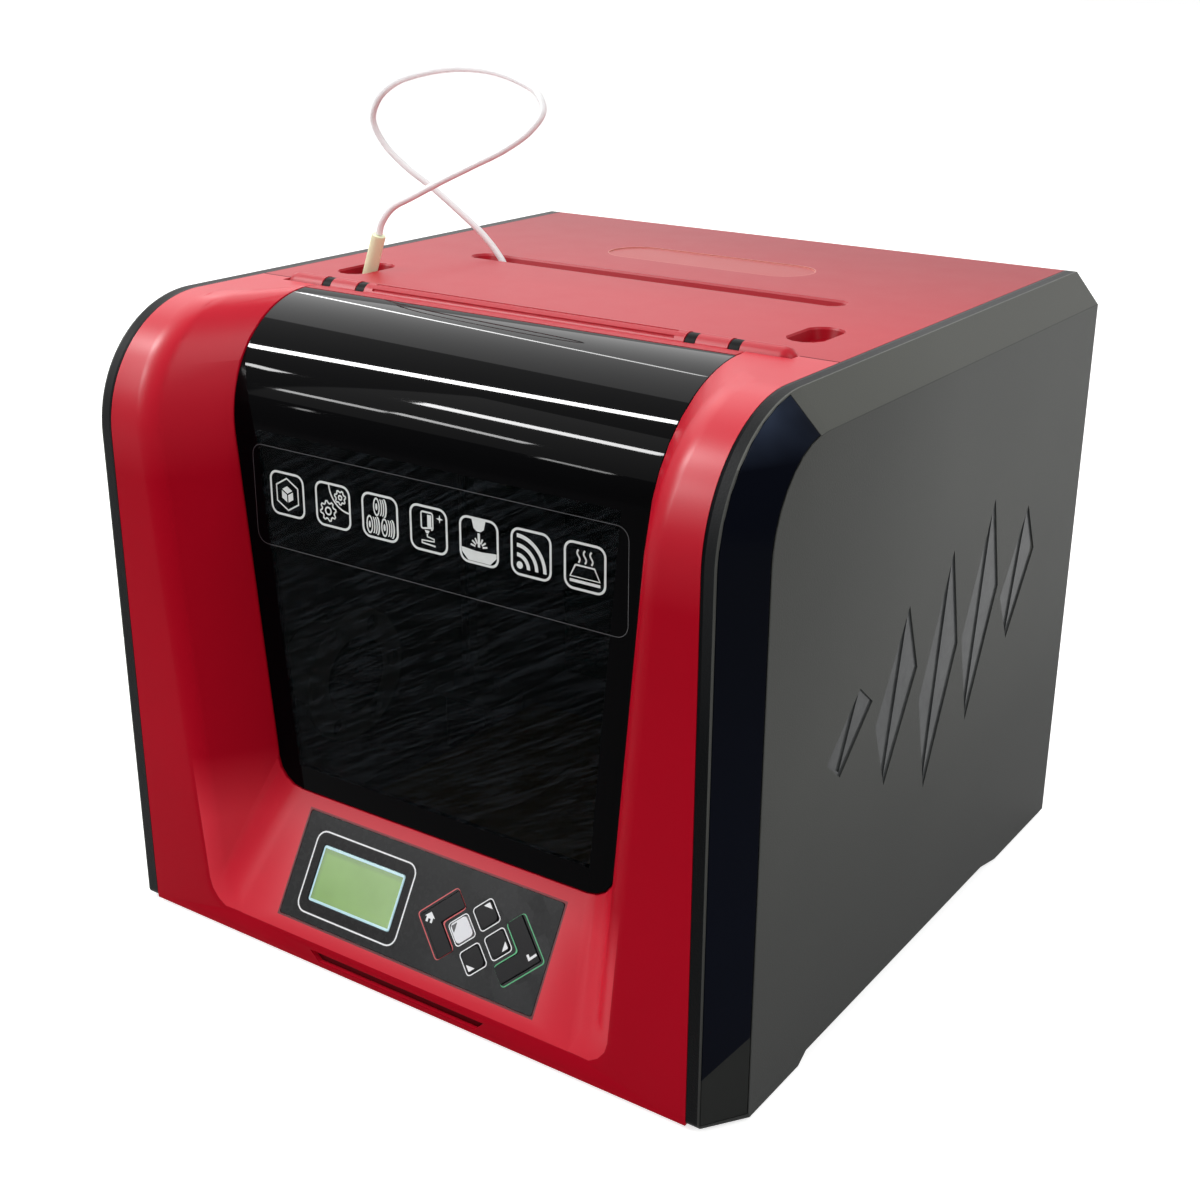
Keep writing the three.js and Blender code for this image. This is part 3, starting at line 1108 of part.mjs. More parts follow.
// The rocker is drawn about its pivot and rests tipped to one side
function powerRocker() {
  const half = rocker.height / 2 - gap;
  const face = bodyDepth - inlet.rimDepth + rocker.proud - rockerY;
  const outline = [[-rocker.root, -half * rocker.rootShare], [face - rocker.dip, -half], [face - rocker.dip - gap, 0],
    [face - rocker.dip, half], [-rocker.root, half * rocker.rootShare]];
  const body = prism('x', polygon(outline), gap - rocker.width / 2, rocker.width / 2 - gap);
  return cut(body, rod('x', rocker.pivot + gap, -rocker.width, rocker.width, 0, 0, smallSides / 2));
}
const rockerMesh = addPiece('power_rocker', powerRocker(), plastic(rubberBlack, 0.35));
rockerMesh.position.set(rockerX, rockerY, inlet.z);
rockerMesh.rotation.x = -rocker.travel / 2;

export default printer;
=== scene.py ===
import json
import math

import bpy
from mathutils import Matrix, Vector

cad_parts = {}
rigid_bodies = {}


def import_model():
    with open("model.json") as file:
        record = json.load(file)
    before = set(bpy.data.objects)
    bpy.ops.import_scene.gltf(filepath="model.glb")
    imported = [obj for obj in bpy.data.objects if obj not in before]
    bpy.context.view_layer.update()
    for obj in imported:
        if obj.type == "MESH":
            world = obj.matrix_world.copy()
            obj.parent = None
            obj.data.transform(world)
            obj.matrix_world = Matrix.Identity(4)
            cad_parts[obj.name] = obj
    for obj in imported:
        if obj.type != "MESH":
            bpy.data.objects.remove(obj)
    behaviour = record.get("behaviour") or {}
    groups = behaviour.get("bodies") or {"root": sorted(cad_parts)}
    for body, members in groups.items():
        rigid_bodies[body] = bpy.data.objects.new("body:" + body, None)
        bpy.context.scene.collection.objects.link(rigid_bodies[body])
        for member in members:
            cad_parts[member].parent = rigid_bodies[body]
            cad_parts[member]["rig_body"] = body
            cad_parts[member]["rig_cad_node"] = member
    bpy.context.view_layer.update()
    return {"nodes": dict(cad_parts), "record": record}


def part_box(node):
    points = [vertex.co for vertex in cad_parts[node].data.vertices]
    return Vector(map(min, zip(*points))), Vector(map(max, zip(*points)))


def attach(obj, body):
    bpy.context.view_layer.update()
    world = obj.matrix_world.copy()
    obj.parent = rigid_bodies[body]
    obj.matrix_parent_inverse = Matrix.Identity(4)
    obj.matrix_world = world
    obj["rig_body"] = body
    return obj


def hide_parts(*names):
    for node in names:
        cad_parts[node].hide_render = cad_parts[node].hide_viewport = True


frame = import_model()
nodes = frame["nodes"]
mm = 0.001
full = 2 * math.pi


def place(x, y, z):
    # machine millimetres, y from the front face and z from the panels' foot
    return Vector((x * mm, y * mm - 0.2075, z * mm + 0.0025))


def tint(red, green, blue):
    # a colour as a screen shows it, 0 to 255, turned linear
    def linear(level):
        share = level / 255
        return share / 12.92 if share <= 0.04045 else ((share + 0.055) / 1.055) ** 2.4

    return (linear(red), linear(green), linear(blue), 1)


# camera at the photograph's angle
camera = {
    "at": (0.54319, -0.79964, 0.54810),
    "right": (0.82845, 0.55999, 0.00942),
    "up": (-0.21032, 0.29547, 0.93191),
    "back": (0.51908, -0.77402, 0.36256),
    "lens": 51.455,
    "shift": (-0.01703, -0.00127),
}


def addCamera():
    bpy.ops.object.camera_add(location=camera["at"])
    eye = bpy.context.object
    turn = Matrix((camera["right"], camera["up"], camera["back"])).transposed()
    eye.rotation_euler = turn.to_euler()
    eye.data.sensor_width = 36
    eye.data.lens = camera["lens"]
    eye.data.shift_x, eye.data.shift_y = camera["shift"]
    eye.data.clip_end = 50
    bpy.context.scene.camera = eye


addCamera()


def deselect():
    if bpy.context.object and bpy.context.object.mode != "OBJECT":
        bpy.ops.object.mode_set(mode="OBJECT")
    bpy.ops.object.select_all(action="DESELECT")


def pick(piece):
    deselect()
    piece.select_set(True)
    bpy.context.view_layer.objects.active = piece
    return piece


def applyPlace(piece):
    pick(piece)
    bpy.ops.object.transform_apply(location=True, rotation=True, scale=True)
    return piece


def cylinder(sides, radius, depth, at, turn):
    bpy.ops.mesh.primitive_cylinder_add(vertices=sides, radius=radius, depth=depth, location=at,
                                        rotation=turn)
    return applyPlace(bpy.context.object)


def modify(piece, kind, **settings):
    pick(piece)
    modifier = piece.modifiers.new(kind.title(), kind)
    for key, value in settings.items():
        setattr(modifier, key, value)
    bpy.ops.object.modifier_apply(modifier=modifier.name)
    return piece


def joined(pieces):
    deselect()
    for piece in pieces:
        piece.select_set(True)
    bpy.context.view_layer.objects.active = pieces[0]
    bpy.ops.object.join()
    return bpy.context.object


def smoothBy(piece, degrees=32):
    pick(piece)
    bpy.ops.object.shade_smooth_by_angle(angle=math.radians(degrees))
    return piece


# shader maths: a socket that adds and multiplies like a number
class Value:
    def __init__(self, paint, socket):
        self.paint = paint
        self.socket = socket

    def math(self, operation, first, second=None):
        inputs = {0: first} if second is None else {0: first, 1: second}
        return self.paint.node("Math", {"operation": operation}, inputs)

    def __add__(self, other):
        return self.math("ADD", self, other)

    def __radd__(self, other):
        return self.math("ADD", other, self)

    def __sub__(self, other):
        return self.math("SUBTRACT", self, other)

    def __rsub__(self, other):
        return self.math("SUBTRACT", other, self)

    def __mul__(self, other):
        return self.math("MULTIPLY", self, other)

    def __pow__(self, other):
        return self.math("POWER", self, other)

    def __gt__(self, other):
        return self.math("GREATER_THAN", self, other)

    def __lt__(self, other):
        return self.math("LESS_THAN", self, other)

    def __abs__(self):
        return self.math("ABSOLUTE", self)

    def sine(self):
        return self.math("SINE", self)

    def clamped(self):
        return self.paint.node("Clamp", {}, {0: self})

    def ramp(self, start, rate):
        # from 0 at the start to 1, at so much per metre
        return ((self - start) * rate).clamped()


class Paint:
    def __init__(self, name, color, roughness, metallic=0.0):
        self.material = bpy.data.materials.new(name)
        self.material.use_nodes = True
        self.tree = self.material.node_tree
        self.shader = self.tree.nodes["Principled BSDF"]
        self.set("Base Color", color)
        self.set("Roughness", roughness)
        self.set("Metallic", metallic)

    def node(self, kind, settings=None, inputs=None, output=0):
        made = self.tree.nodes.new("ShaderNode" + kind)
        for key, value in (settings or {}).items():
            setattr(made, key, value)
        for key, value in (inputs or {}).items():
            self.feed(made.inputs[key], value)
        return Value(self, made.outputs[output])

    def feed(self, socket, value):
        if isinstance(value, Value):
            self.tree.links.new(value.socket, socket)
        else:
            socket.default_value = value

    def set(self, name, value):
        self.feed(self.shader.inputs[name], value)

    def coords(self):
        return self.node("TexCoord", output="Object")

    def axes(self, letters, vector=None):
        vector = vector or self.coords()
        return [self.node("SeparateXYZ", {}, {0: vector}, output="xyz".index(letter)) for letter in letters]

    def greater(self, first, second):
        return self.node("Math", {"operation": "MAXIMUM"}, {0: first, 1: second})

    def noise(self, scale, detail=2.0, rough=0.5, vector=None):
        inputs = {"Vector": vector or self.coords(), "Scale": scale, "Detail": detail, "Roughness": rough}
        return self.node("TexNoise", {}, inputs)

    def stretched(self, scale):
        return self.node("Mapping", {}, {"Vector": self.coords(), "Scale": scale})

    def mix(self, share, first, second):
        return self.node("Mix", {"data_type": "RGBA"}, {0: share, 6: first, 7: second}, output=2)

    def bump(self, height, distance, strength=1.0):
        inputs = {"Strength": strength, "Distance": distance, "Height": height}
        self.set("Normal", self.node("Bump", {}, inputs))


print("materials")
red = {"deep": tint(150, 2, 21), "bright": tint(168, 4, 30)}


def darker(color, share):
    return (*(level * share for level in color[:3]), 1)


def redPaint(name, roughness, shine):
    # the red with its fine grain, and its colour for the caller to work on
    paint = Paint(name, red["bright"], roughness)
    paint.set("Specular IOR Level", shine)
    grain = paint.noise(1300, 2)
    paint.set("Roughness", paint.noise(50, 3) * 0.08 + grain * 0.06 + (roughness - 0.07))
    paint.bump(grain, 0.00008, 0.6)
    return paint, paint.mix(paint.noise(6, 3), red["deep"], red["bright"])


slope = {"origin": place(0, 0, 13), "angle": math.atan2(68, 40)}
slopeMatrix = Matrix.Translation(slope["origin"]) @ Matrix.Rotation(slope["angle"], 4, "X")
seat = {"half": 0.0898, "middle": 0.04015, "rise": 0.03055, "line": 0.0011}


def onSlope(paint):
    # the sloping face's own axes: across it, up it, and out of it
    inputs = {"Vector": paint.coords(), "Location": slope["origin"], "Rotation": (slope["angle"], 0, 0)}
    return paint.node("Mapping", {"vector_type": "TEXTURE"}, inputs)


shellLook = {"slopeTop": 0.108, "front": -0.207, "crownFoot": 0.27}


def shellPlastic():
    # more sheen on the sloping face and over the round top corner, where a brighter red is painted as painted
    # light, and a dark line round the overlay's seat as painted shade in its gap
    paint, color = redPaint("redPlastic", 0.38, 0.025)
    y, z = paint.axes("yz")
    slopeFace = z.ramp(shellLook["slopeTop"], -26) * (y > shellLook["front"])
    crown = z.ramp(shellLook["crownFoot"], 11)
    # painted light: a brighter red on the sloping face and the round top corner, where they catch the light
    color = paint.mix((slopeFace + crown).clamped() * 0.8, color, tint(208, 12, 42))
    # painted shade: a dark red line round the overlay's seat, for the shade in the gap round it
    across, up = paint.axes("xy", onSlope(paint))
    beyond = paint.greater(abs(across) - seat["half"], abs(up - seat["middle"]) - seat["rise"])
    paint.set("Base Color", paint.mix((beyond < seat["line"]) * slopeFace, color, tint(84, 3, 14)))
    paint.set("Coat Weight", slopeFace * 0.45 + crown * 0.6)
    paint.set("Coat Roughness", 0.35)
    return paint.material


cover = {
    "top": 0.3605, "sunk": 0.0012, "pockets": -0.075, "rear": -0.02, "seam": -0.0855, "knuckle": 0.166,
    "flush": 0.0005,
}
plaque = {"y": 0.1045, "half": 0.0505, "radius": 0.0199, "line": 0.0005}


def coverPlastic():
    # painted shade: deeper red towards the rear and in the pockets, and a dark line along the seam in front;
    # the plaque's pale floor, and its pale line as a painted highlight
    paint, color = redPaint("redTopPlastic", 0.44, 0.04)
    x, y, z = paint.axes("xyz")
    sunk = (z < cover["top"] - cover["sunk"]) * (y > cover["pockets"])
    beyond = paint.greater(abs(x) - plaque["half"], 0.0)
    deep = y - plaque["y"]
    away = (beyond * beyond + deep * deep) ** 0.5
    color = paint.mix(0.5, color, tint(190, 8, 36))
    # painted shade: the red darker towards the rear
    color = paint.mix(y.ramp(cover["rear"], 5), color, tint(146, 4, 26))
    # painted shade: a darker red in the pockets and the slot
    color = paint.mix(sunk, color, tint(150, 2, 22))
    # painted shade: a dark line along the seam in front, for the shade in its gap
    seam = (abs(x) > cover["knuckle"]) * (y < cover["seam"]) * (z < cover["top"] + cover["flush"])
    color = paint.mix(seam * 0.8, color, tint(60, 2, 10))
    paint.set("Coat Weight", (1 - sunk * 0.85) * (1 - seam) * 0.5)
    paint.set("Coat Roughness", 0.44)
    color = paint.mix((away < plaque["radius"]) * 0.16, color, tint(222, 150, 138))
    # painted highlight: a pale line round the plaque's rim, where its edge catches the light
    color = paint.mix((abs(away - plaque["radius"]) < plaque["line"]) * 0.5, color, tint(236, 172, 160))
    paint.set("Base Color", color)
    return paint.material


panelLook = {
    "seam": 1.5, "rim": 6.5, "skin": 0.0004, "floor": 0.0024, "y": -0.005, "z": 0.175, "half": 0.14,
    "bevelSkin": 0.0003, "bevelTop": 0.335, "bevelRear": 0.185, "footShade": 0.18, "rimSheenFoot": 0.2,
    "edgeMatte": 0.34, "coatZ": 0.1, "coatY": -0.16,
}


def panelPlastic():
    # grained flats, darker towards the foot as painted shade, gloss in the sunk motif, paler bevels as
    # painted light, and a dark rim along the seam with the red, paler towards its top as a painted sheen,
    # with a black line at the seam as painted shade in its gap
    paint = Paint("panelPlastic", tint(58, 59, 57), 0.5)
    paint.set("Specular IOR Level", 0.06)
    low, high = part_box("side_panel_right")
    x, y, z = paint.axes("xyz")
    side = abs(x)
    half = panelLook["half"]
    sunk = (side < high.x - panelLook["skin"]) * (abs(y - panelLook["y"]) < half)
    sunk = sunk * (abs(z - panelLook["z"]) < half) * (side > high.x - panelLook["floor"])
    cloud = paint.mix(paint.noise(9, 3), tint(58, 59, 57), tint(68, 69, 66))
    marble = paint.mix(paint.noise(55, 5, 0.7), tint(34, 35, 37), tint(84, 86, 86))
    cloud = paint.mix(z.ramp(panelLook["footShade"], -5), cloud, tint(44, 45, 44))
    # painted light: the top and rear bevels paler, where they catch the light
    bevel = (z > panelLook["bevelTop"]) + (y > panelLook["bevelRear"])
    bevel = (side < high.x - panelLook["bevelSkin"]) * bevel.clamped()
    color = paint.mix(bevel, paint.mix(sunk, cloud, marble), tint(85, 86, 82))
    rim = side < low.x + panelLook["rim"] * mm
    # painted sheen: the dark rim paler towards its top
    edge = paint.mix(z.ramp(panelLook["rimSheenFoot"], 7), tint(6, 7, 8), tint(24, 25, 26))
    color = paint.mix(rim, color, edge)
    # painted shade: a black line along the seam with the red, for the shade in its gap
    seam = side < low.x + panelLook["seam"] * mm
    paint.set("Base Color", paint.mix(seam, color, tint(6, 6, 7)))
    paint.set("Metallic", (rim * z.ramp(panelLook["edgeMatte"], -8) + seam).clamped() * 0.95)
    paint.set("Coat Weight", z.ramp(panelLook["coatZ"], 4) * y.ramp(panelLook["coatY"], 6) * 0.3)
    paint.set("Coat Roughness", 0.5)
    grain = paint.noise(1100, 3)
    paint.set("Roughness", (grain * 0.14 + 0.42) * (1 - sunk) + sunk * 0.14)
    paint.bump(grain * (1 - sunk), 0.00014, 0.8)
    return paint.material


def moulded(name, color, roughness, grainScale=1400, grainDepth=0.00005, shine=0.4):
    paint = Paint(name, color, roughness)
    paint.set("Specular IOR Level", shine)
    grain = paint.noise(grainScale, 2)
    paint.set("Base Color", paint.mix(paint.noise(14, 3), darker(color, 0.86), color))
    paint.set("Roughness", grain * 0.08 + (roughness - 0.04))
    paint.bump(grain, grainDepth, 0.5)
    return paint.material


strip = {"footX": 0.1938, "footZ": 0.03, "slant": 1.3, "sky": 0.334}


def glossStrip():
    # blue-black gloss, with a grey foot cut aslant and a painted reflection of pale sky in patches at its top
    paint = Paint("glossStrip", tint(12, 15, 24), 0.07)
    paint.set("Specular IOR Level", 0.02)
    x, z = paint.axes("xz")
    foot = z < (abs(x) - strip["footX"]) * strip["slant"] + strip["footZ"]
    # painted reflection: pale patches near the strip's top
    sky = z.ramp(strip["sky"], 50) * (paint.noise(26, 2) * 1.4 - 0.3).clamped()
    paint.set("Roughness", paint.noise(240, 3) * 0.06 + foot * 0.4 + 0.05)
    color = paint.mix(paint.noise(5, 2), tint(2, 3, 6), tint(6, 10, 24))
    paint.set("Base Color", paint.mix(foot, paint.mix(sky, color, tint(58, 68, 88)), tint(40, 41, 40)))
    paint.bump(paint.noise(30, 2), 0.0002, 0.15)
    return paint.material


door = {
    "clear": 0.27, "shine": 0.014, "bandHalf": 0.1005, "bandZ": 0.085, "bandSpread": 0.0876, "foot": 0.0995,
    "head": 0.296, "curve": 0.292, "lineTurn": -30, "lineScale": (1, 1, 0.05),
}


def smokedDoor():
    # black round its rim; in the middle slanting lines and a little clear, where the inside shows
    paint = Paint("smokedDoor", tint(6, 6, 8), 0.04)
    paint.set("Specular IOR Level", door["shine"])
    x, z = paint.axes("xz")
    half = door["bandHalf"] + (z - door["bandZ"]) * door["bandSpread"]
    band = ((abs(x) > half) + (z < door["foot"]) + (z > door["head"])).clamped()
    paint.set("Alpha", band * door["clear"] + (1 - door["clear"]))
    turn = (0, math.radians(door["lineTurn"]), 0)
    inputs = {"Vector": paint.coords(), "Rotation": turn, "Scale": door["lineScale"]}
    lines = paint.noise(38, 3, 0.65, paint.node("Mapping", {"vector_type": "TEXTURE"}, inputs))
    film = paint.mix(((lines - 0.48) * 6).clamped(), tint(0, 1, 1), tint(27, 31, 34))
    paint.set("Base Color", paint.mix(band, film, tint(2, 2, 3)))
    curved = z.ramp(door["curve"], 15)
    paint.set("Coat Weight", curved * curved * 0.34)
    paint.set("Roughness", paint.noise(60, 4, 0.6) * 0.03 + 0.02)
    return paint.material


def metalFinish(name, color, roughness, stretch=(1, 1, 1), depth=0.00002):
    paint = Paint(name, color, roughness, 1.0)
    streak = paint.noise(500, 3, 0.6, paint.stretched(stretch))
    paint.set("Roughness", streak * 0.16 + (roughness - 0.08))
    paint.set("Base Color", paint.mix(paint.noise(30, 3), darker(color, 0.82), color))
    paint.bump(streak, depth, 0.5)
    return paint.material


beltPitch = 0.002


def beltRubber():
    # teeth along the belt, whichever way it runs, their tops painted lighter and the grooves darker as
    # painted light and shade
    paint = Paint("beltRubber", tint(28, 28, 28), 0.7)
    x, y = paint.axes("xy")
    tooth = ((x + y) * (full / beltPitch)).sine()
    # painted light and shade: tooth tops lighter, grooves darker
    paint.set("Base Color", paint.mix(tooth, tint(18, 18, 18), tint(36, 36, 36)))
    paint.bump(tooth, 0.0004, 0.7)
    return paint.material


liftScrew = {"x": 0.153, "y": 0.0665, "lead": 0.008}


def screwThread():
    # a thread that winds round each lift screw's axis, its crests painted lighter and its grooves darker as
    # painted light and shade
    paint = Paint("leadScrew", tint(176, 178, 180), 0.3, 1.0)
    x, y, z = paint.axes("xyz")
    turn = paint.node("Math", {"operation": "ARCTAN2"}, {0: y - liftScrew["y"], 1: abs(x) - liftScrew["x"]})
    wave = (z * (full / liftScrew["lead"]) + turn).sine()
    # painted light and shade: thread crests lighter, grooves darker
    paint.set("Base Color", paint.mix(wave * 0.5 + 0.5, tint(95, 96, 98), tint(190, 192, 194)))
    paint.bump(wave, 0.0006, 0.8)
    return paint.material


tape = {"width": 0.048, "joint": 0.996}


def tapeFinish():
    # strips of tape side by side, with a fine line where they meet
    paint = Paint("bedTape", tint(186, 158, 84), 0.7)
    weave = paint.noise(900, 2, 0.5, paint.stretched((1, 6, 1)))
    paint.set("Base Color", paint.mix(weave, tint(170, 142, 70), tint(198, 170, 96)))
    [x] = paint.axes("x")
    joint = (x * (full / tape["width"])).sine() > tape["joint"]
    paint.bump(weave * 0.2 - joint, 0.0001, 0.6)
    return paint.material


screen = {"x": -0.043, "y": 0.0382, "half": 0.0288, "rise": 0.0146, "shadeHalf": 0.0262, "shadeRise": 0.0112}


def displayGlow():
    # green glass with a pale edge, in shade along its top and its left side
    paint = Paint("displayGlow", tint(150, 178, 96), 0.2)
    flat = onSlope(paint)
    x, y = paint.axes("xy", flat)
    across, up = abs(x - screen["x"]), abs(y - screen["y"])
    edge = ((across > screen["half"]) + (up > screen["rise"])).clamped()
    shade = up.ramp(screen["shadeRise"], 300) * (y > screen["y"])
    shade = shade + across.ramp(screen["shadeHalf"], 380) * (x < screen["x"])
    haze = paint.noise(40, 2, 0.5, flat)
    green = paint.mix(haze, tint(102, 142, 62), tint(122, 164, 82))
    green = paint.mix(shade.clamped() * 0.6, green, tint(84, 112, 74))
    paint.set("Base Color", paint.mix(edge, green, tint(176, 214, 222)))
    paint.set("Emission Color", paint.mix(edge, green, tint(150, 196, 208)))
    paint.set("Emission Strength", 0.1)
    return paint.material


overlay = {"facets": 70, "pale": -0.02, "x": -0.043, "y": 0.0384, "half": 0.0366, "rise": 0.0236}


def overlayFilm():
    # charcoal film with faint facets, blacker inside the display's frame
    paint = Paint("overlayFilm", tint(36, 36, 38), 0.3)
    paint.set("Specular IOR Level", 0.08)
    flat = onSlope(paint)
    x, y = paint.axes("xy", flat)
    inputs = {"Vector": flat, "Scale": overlay["facets"]}
    [level] = paint.axes("x", paint.node("TexVoronoi", {"feature": "F1"}, inputs, output="Color"))
    charcoal = paint.mix(level * x.ramp(overlay["pale"], 12), tint(27, 28, 29), tint(44, 45, 46))
    inside = (abs(x - overlay["x"]) < overlay["half"]) * (abs(y - overlay["y"]) < overlay["rise"])
    paint.set("Base Color", paint.mix(inside, charcoal, tint(13, 13, 14)))
    paint.set("Roughness", paint.noise(300, 2) * 0.1 + 0.22)
    paint.bump(paint.noise(26, 3, 0.6, flat), 0.0004, 0.25)
    return paint.material


hubRing = 0.29


def hubPlastic():
    # pale round its rim, dark in its middle
    paint = Paint("greyHub", tint(196, 196, 192), 0.45)
    y, z = paint.axes("yz")
    low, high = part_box("spool_hub")
    middle = (low + high) / 2
    along, up = y - middle.y, z - middle.z
    ring = (along * along + up * up) ** 0.5 > (high.z - low.z) * hubRing
    paint.set("Base Color", paint.mix(ring, tint(50, 50, 50), tint(214, 214, 208)))
    paint.bump(paint.noise(1400, 2), 0.00005, 0.5)
    return paint.material


socket = {"x": -0.14, "z": 0.0285, "shell": 0.0064, "hole": 0.0042, "front": 0.194}


def boardPaint():
    # green board, with the metal data socket that shows in the rear cover, its dark hole painted as shade
    paint = Paint("circuitBoard", tint(26, 84, 48), 0.4)
    x, y, z = paint.axes("xyz")
    across, up = abs(x - socket["x"]), abs(z - socket["z"])
    metal = (across < socket["shell"]) * (up < socket["shell"]) * (y > socket["front"])
    hole = (across < socket["hole"]) * (up < socket["hole"]) * metal
    green = paint.mix(paint.noise(90, 4), tint(20, 70, 40), tint(34, 96, 58))
    # painted shade: the socket's hole dark, for the shade inside it
    paint.set("Base Color", paint.mix(hole, paint.mix(metal, green, tint(168, 170, 172)), tint(14, 14, 15)))
    paint.set("Metallic", metal * (1 - hole))
    return paint.material


def flatInk(name, color, roughness=0.45):
    paint = Paint(name, color, roughness)
    paint.set("Base Color", paint.mix(paint.noise(300, 2), darker(color, 0.9), color))
    return paint.material


finishes = {
    "red": shellPlastic(),
    "redTop": coverPlastic(),
    "panel": panelPlastic(),
    "strip": glossStrip(),
    "door": smokedDoor(),
    "collar": moulded("blackCollar", tint(8, 8, 9), 0.45, shine=0.05),
    "rear": moulded("rearPlastic", tint(38, 38, 38), 0.55),
    "rubber": moulded("softRubber", tint(26, 26, 26), 0.8, 700, 0.0001),
    "black": moulded("blackPlastic", tint(26, 26, 27), 0.5, shine=0.25),
    "chassis": metalFinish("zincSheet", tint(150, 152, 154), 0.42, (1, 8, 1)),
    "motor": metalFinish("motorCan", tint(46, 47, 50), 0.45),
    "rod": metalFinish("groundRod", tint(196, 198, 200), 0.18, (6, 6, 1)),
    "screw": screwThread(),
    "aluminium": metalFinish("machinedAluminium", tint(182, 184, 186), 0.3, (8, 1, 1)),
    "brass": metalFinish("nozzleBrass", tint(200, 164, 92), 0.28),
    "tape": tapeFinish(),
    "overlay": overlayFilm(),
    "display": displayGlow(),
    "key": moulded("keyFilm", tint(22, 22, 24), 0.3, shine=0.08),
    "keyLit": moulded("keyFilmWhite", tint(226, 228, 232), 0.35, shine=0.2),
    "tan": moulded("creamNylon", tint(246, 252, 210), 0.42, 500, shine=0.3),
    "tube": moulded("whiteTube", tint(251, 251, 252), 0.3, 800, 0.00002),
    "grey": hubPlastic(),
    "board": boardPaint(),
    "belt": beltRubber(),
    "white": flatInk("whiteInk", tint(228, 230, 232)),
    "iconInk": flatInk("iconInk", tint(206, 210, 208)),
    "darkInk": flatInk("darkInk", tint(34, 34, 38)),
    "redInk": flatInk("redInk", tint(196, 52, 58)),
    "greenInk": flatInk("greenInk", tint(48, 168, 104)),
    "filmEdge": flatInk("filmEdge", tint(46, 46, 50), 0.2),
    # painted shade: a darker red for the finger slot's back, for the shade in the slot
    "shadedWell": moulded("redWellShade", tint(88, 3, 14), 0.5, shine=0.05),
    "steel": metalFinish("screwSteel", tint(120, 122, 124), 0.35),
}


def dress(piece, finish):
    piece.data.materials.clear()
    piece.data.materials.append(finishes[finish])
    return piece


# the body's round corner, and the recess's own behind it; an edge is one facet of them if its turn is
# from least to most of a step, and its radius in metres level and between inner and outer
bodyCorner = {
    "radius": 70, "height": 288, "recess": 40, "step": 11.25, "cuts": 2, "least": 0.7, "most": 1.1,
    "slack": 0.5, "level": 0.0012, "inner": 0.04, "outer": 0.0705,
}


def clearSelection(mesh):
    for part in (*mesh.polygons, *mesh.edges, *mesh.vertices):
        part.select = False


def selectEnds(mesh):
    # the ends of the selected edges
    for edge in mesh.edges:
        if edge.select:
            for i in edge.vertices:
                mesh.vertices[i].select = True


def roundCorner(piece):
    # the facets round the corner again, each in three, on the true arc
    targets = {}
    mesh = piece.data
    clearSelection(mesh)
    for edge in mesh.edges:
        ends = [mesh.vertices[i].co for i in edge.vertices]
        for back in (0, bodyCorner["recess"]):
            axis = place(0, bodyCorner["radius"] + back, bodyCorner["height"])
            polar = [(end.y - axis.y, end.z - axis.z) for end in ends]
            radii = [math.hypot(*p) for p in polar]
            turns = [math.degrees(math.atan2(p[1], -p[0])) for p in polar]
            facets = abs(turns[0] - turns[1]) / bodyCorner["step"]
            within = min(turns) > -bodyCorner["slack"] and max(turns) < 90 + bodyCorner["slack"]
            level = abs(radii[0] - radii[1]) < bodyCorner["level"]
            near = bodyCorner["inner"] < min(radii) < bodyCorner["outer"]
            if within and level and near and bodyCorner["least"] < facets < bodyCorner["most"]:
                edge.select = True
                for step in range(1, bodyCorner["cuts"] + 1):
                    share = step / (bodyCorner["cuts"] + 1)
                    chord = ends[0].lerp(ends[1], share)
                    radius = radii[0] + (radii[1] - radii[0]) * share
                    turn = math.radians(turns[0] + (turns[1] - turns[0]) * share)
                    spot = (chord.x, axis.y - radius * math.cos(turn), axis.z + radius * math.sin(turn))
                    targets[tuple(round(c, 6) for c in chord)] = spot
                break
    if not targets:
        return
    selectEnds(mesh)
    bpy.ops.object.mode_set(mode="EDIT")
    bpy.ops.mesh.select_mode(type="EDGE")
    bpy.ops.mesh.subdivide(number_cuts=bodyCorner["cuts"], ngon=True)
    bpy.ops.object.mode_set(mode="OBJECT")
    for vertex in piece.data.vertices:
        spot = targets.get(tuple(round(c, 6) for c in vertex.co))
        if spot:
            vertex.co = spot


pillarEdge = {
    "round": 9, "steps": 6, "inner": 95, "outer": 178, "foot": 12.5, "front": 0.3, "level": 0.0004,
    "flat": 0.05, "aside": 0.12,
}


def softenPillars(shell):
    # the pillars' long edges beside the door, from the panel's height up and over the corner
    axis = place(0, bodyCorner["radius"], bodyCorner["height"])
    mesh = shell.data
    clearSelection(mesh)
    sides = {}
    for face in mesh.polygons:
        for key in face.edge_keys:
            sides.setdefault(key, []).append(face.normal)

    def onPillar(point):
        far = math.hypot(point.y - axis.y, point.z - axis.z) - bodyCorner["radius"] * mm
        outside = abs(far) < pillarEdge["level"]
        if point.z < axis.z:
            outside = point.y < place(0, pillarEdge["front"], 0).y
        between = pillarEdge["inner"] * mm < abs(point.x) < pillarEdge["outer"] * mm
        return outside and between and point.z > pillarEdge["foot"] * mm

    for edge in mesh.edges:
        ends = [mesh.vertices[i].co for i in edge.vertices]
        normals = sides.get(edge.key, [])
        across = sorted(abs(normal.x) for normal in normals)
        sharp = len(normals) == 2 and across[0] < pillarEdge["flat"] and across[1] > pillarEdge["aside"]
        edge.select = sharp and all(onPillar(end) for end in ends)
    selectEnds(mesh)
    bpy.ops.object.mode_set(mode="EDIT")
    bpy.ops.mesh.select_mode(type="EDGE")
    bpy.ops.mesh.bevel(offset=pillarEdge["round"] * mm, segments=pillarEdge["steps"], affect="EDGES",
                       profile=0.5, clamp_overlap=False)
    bpy.ops.object.mode_set(mode="OBJECT")


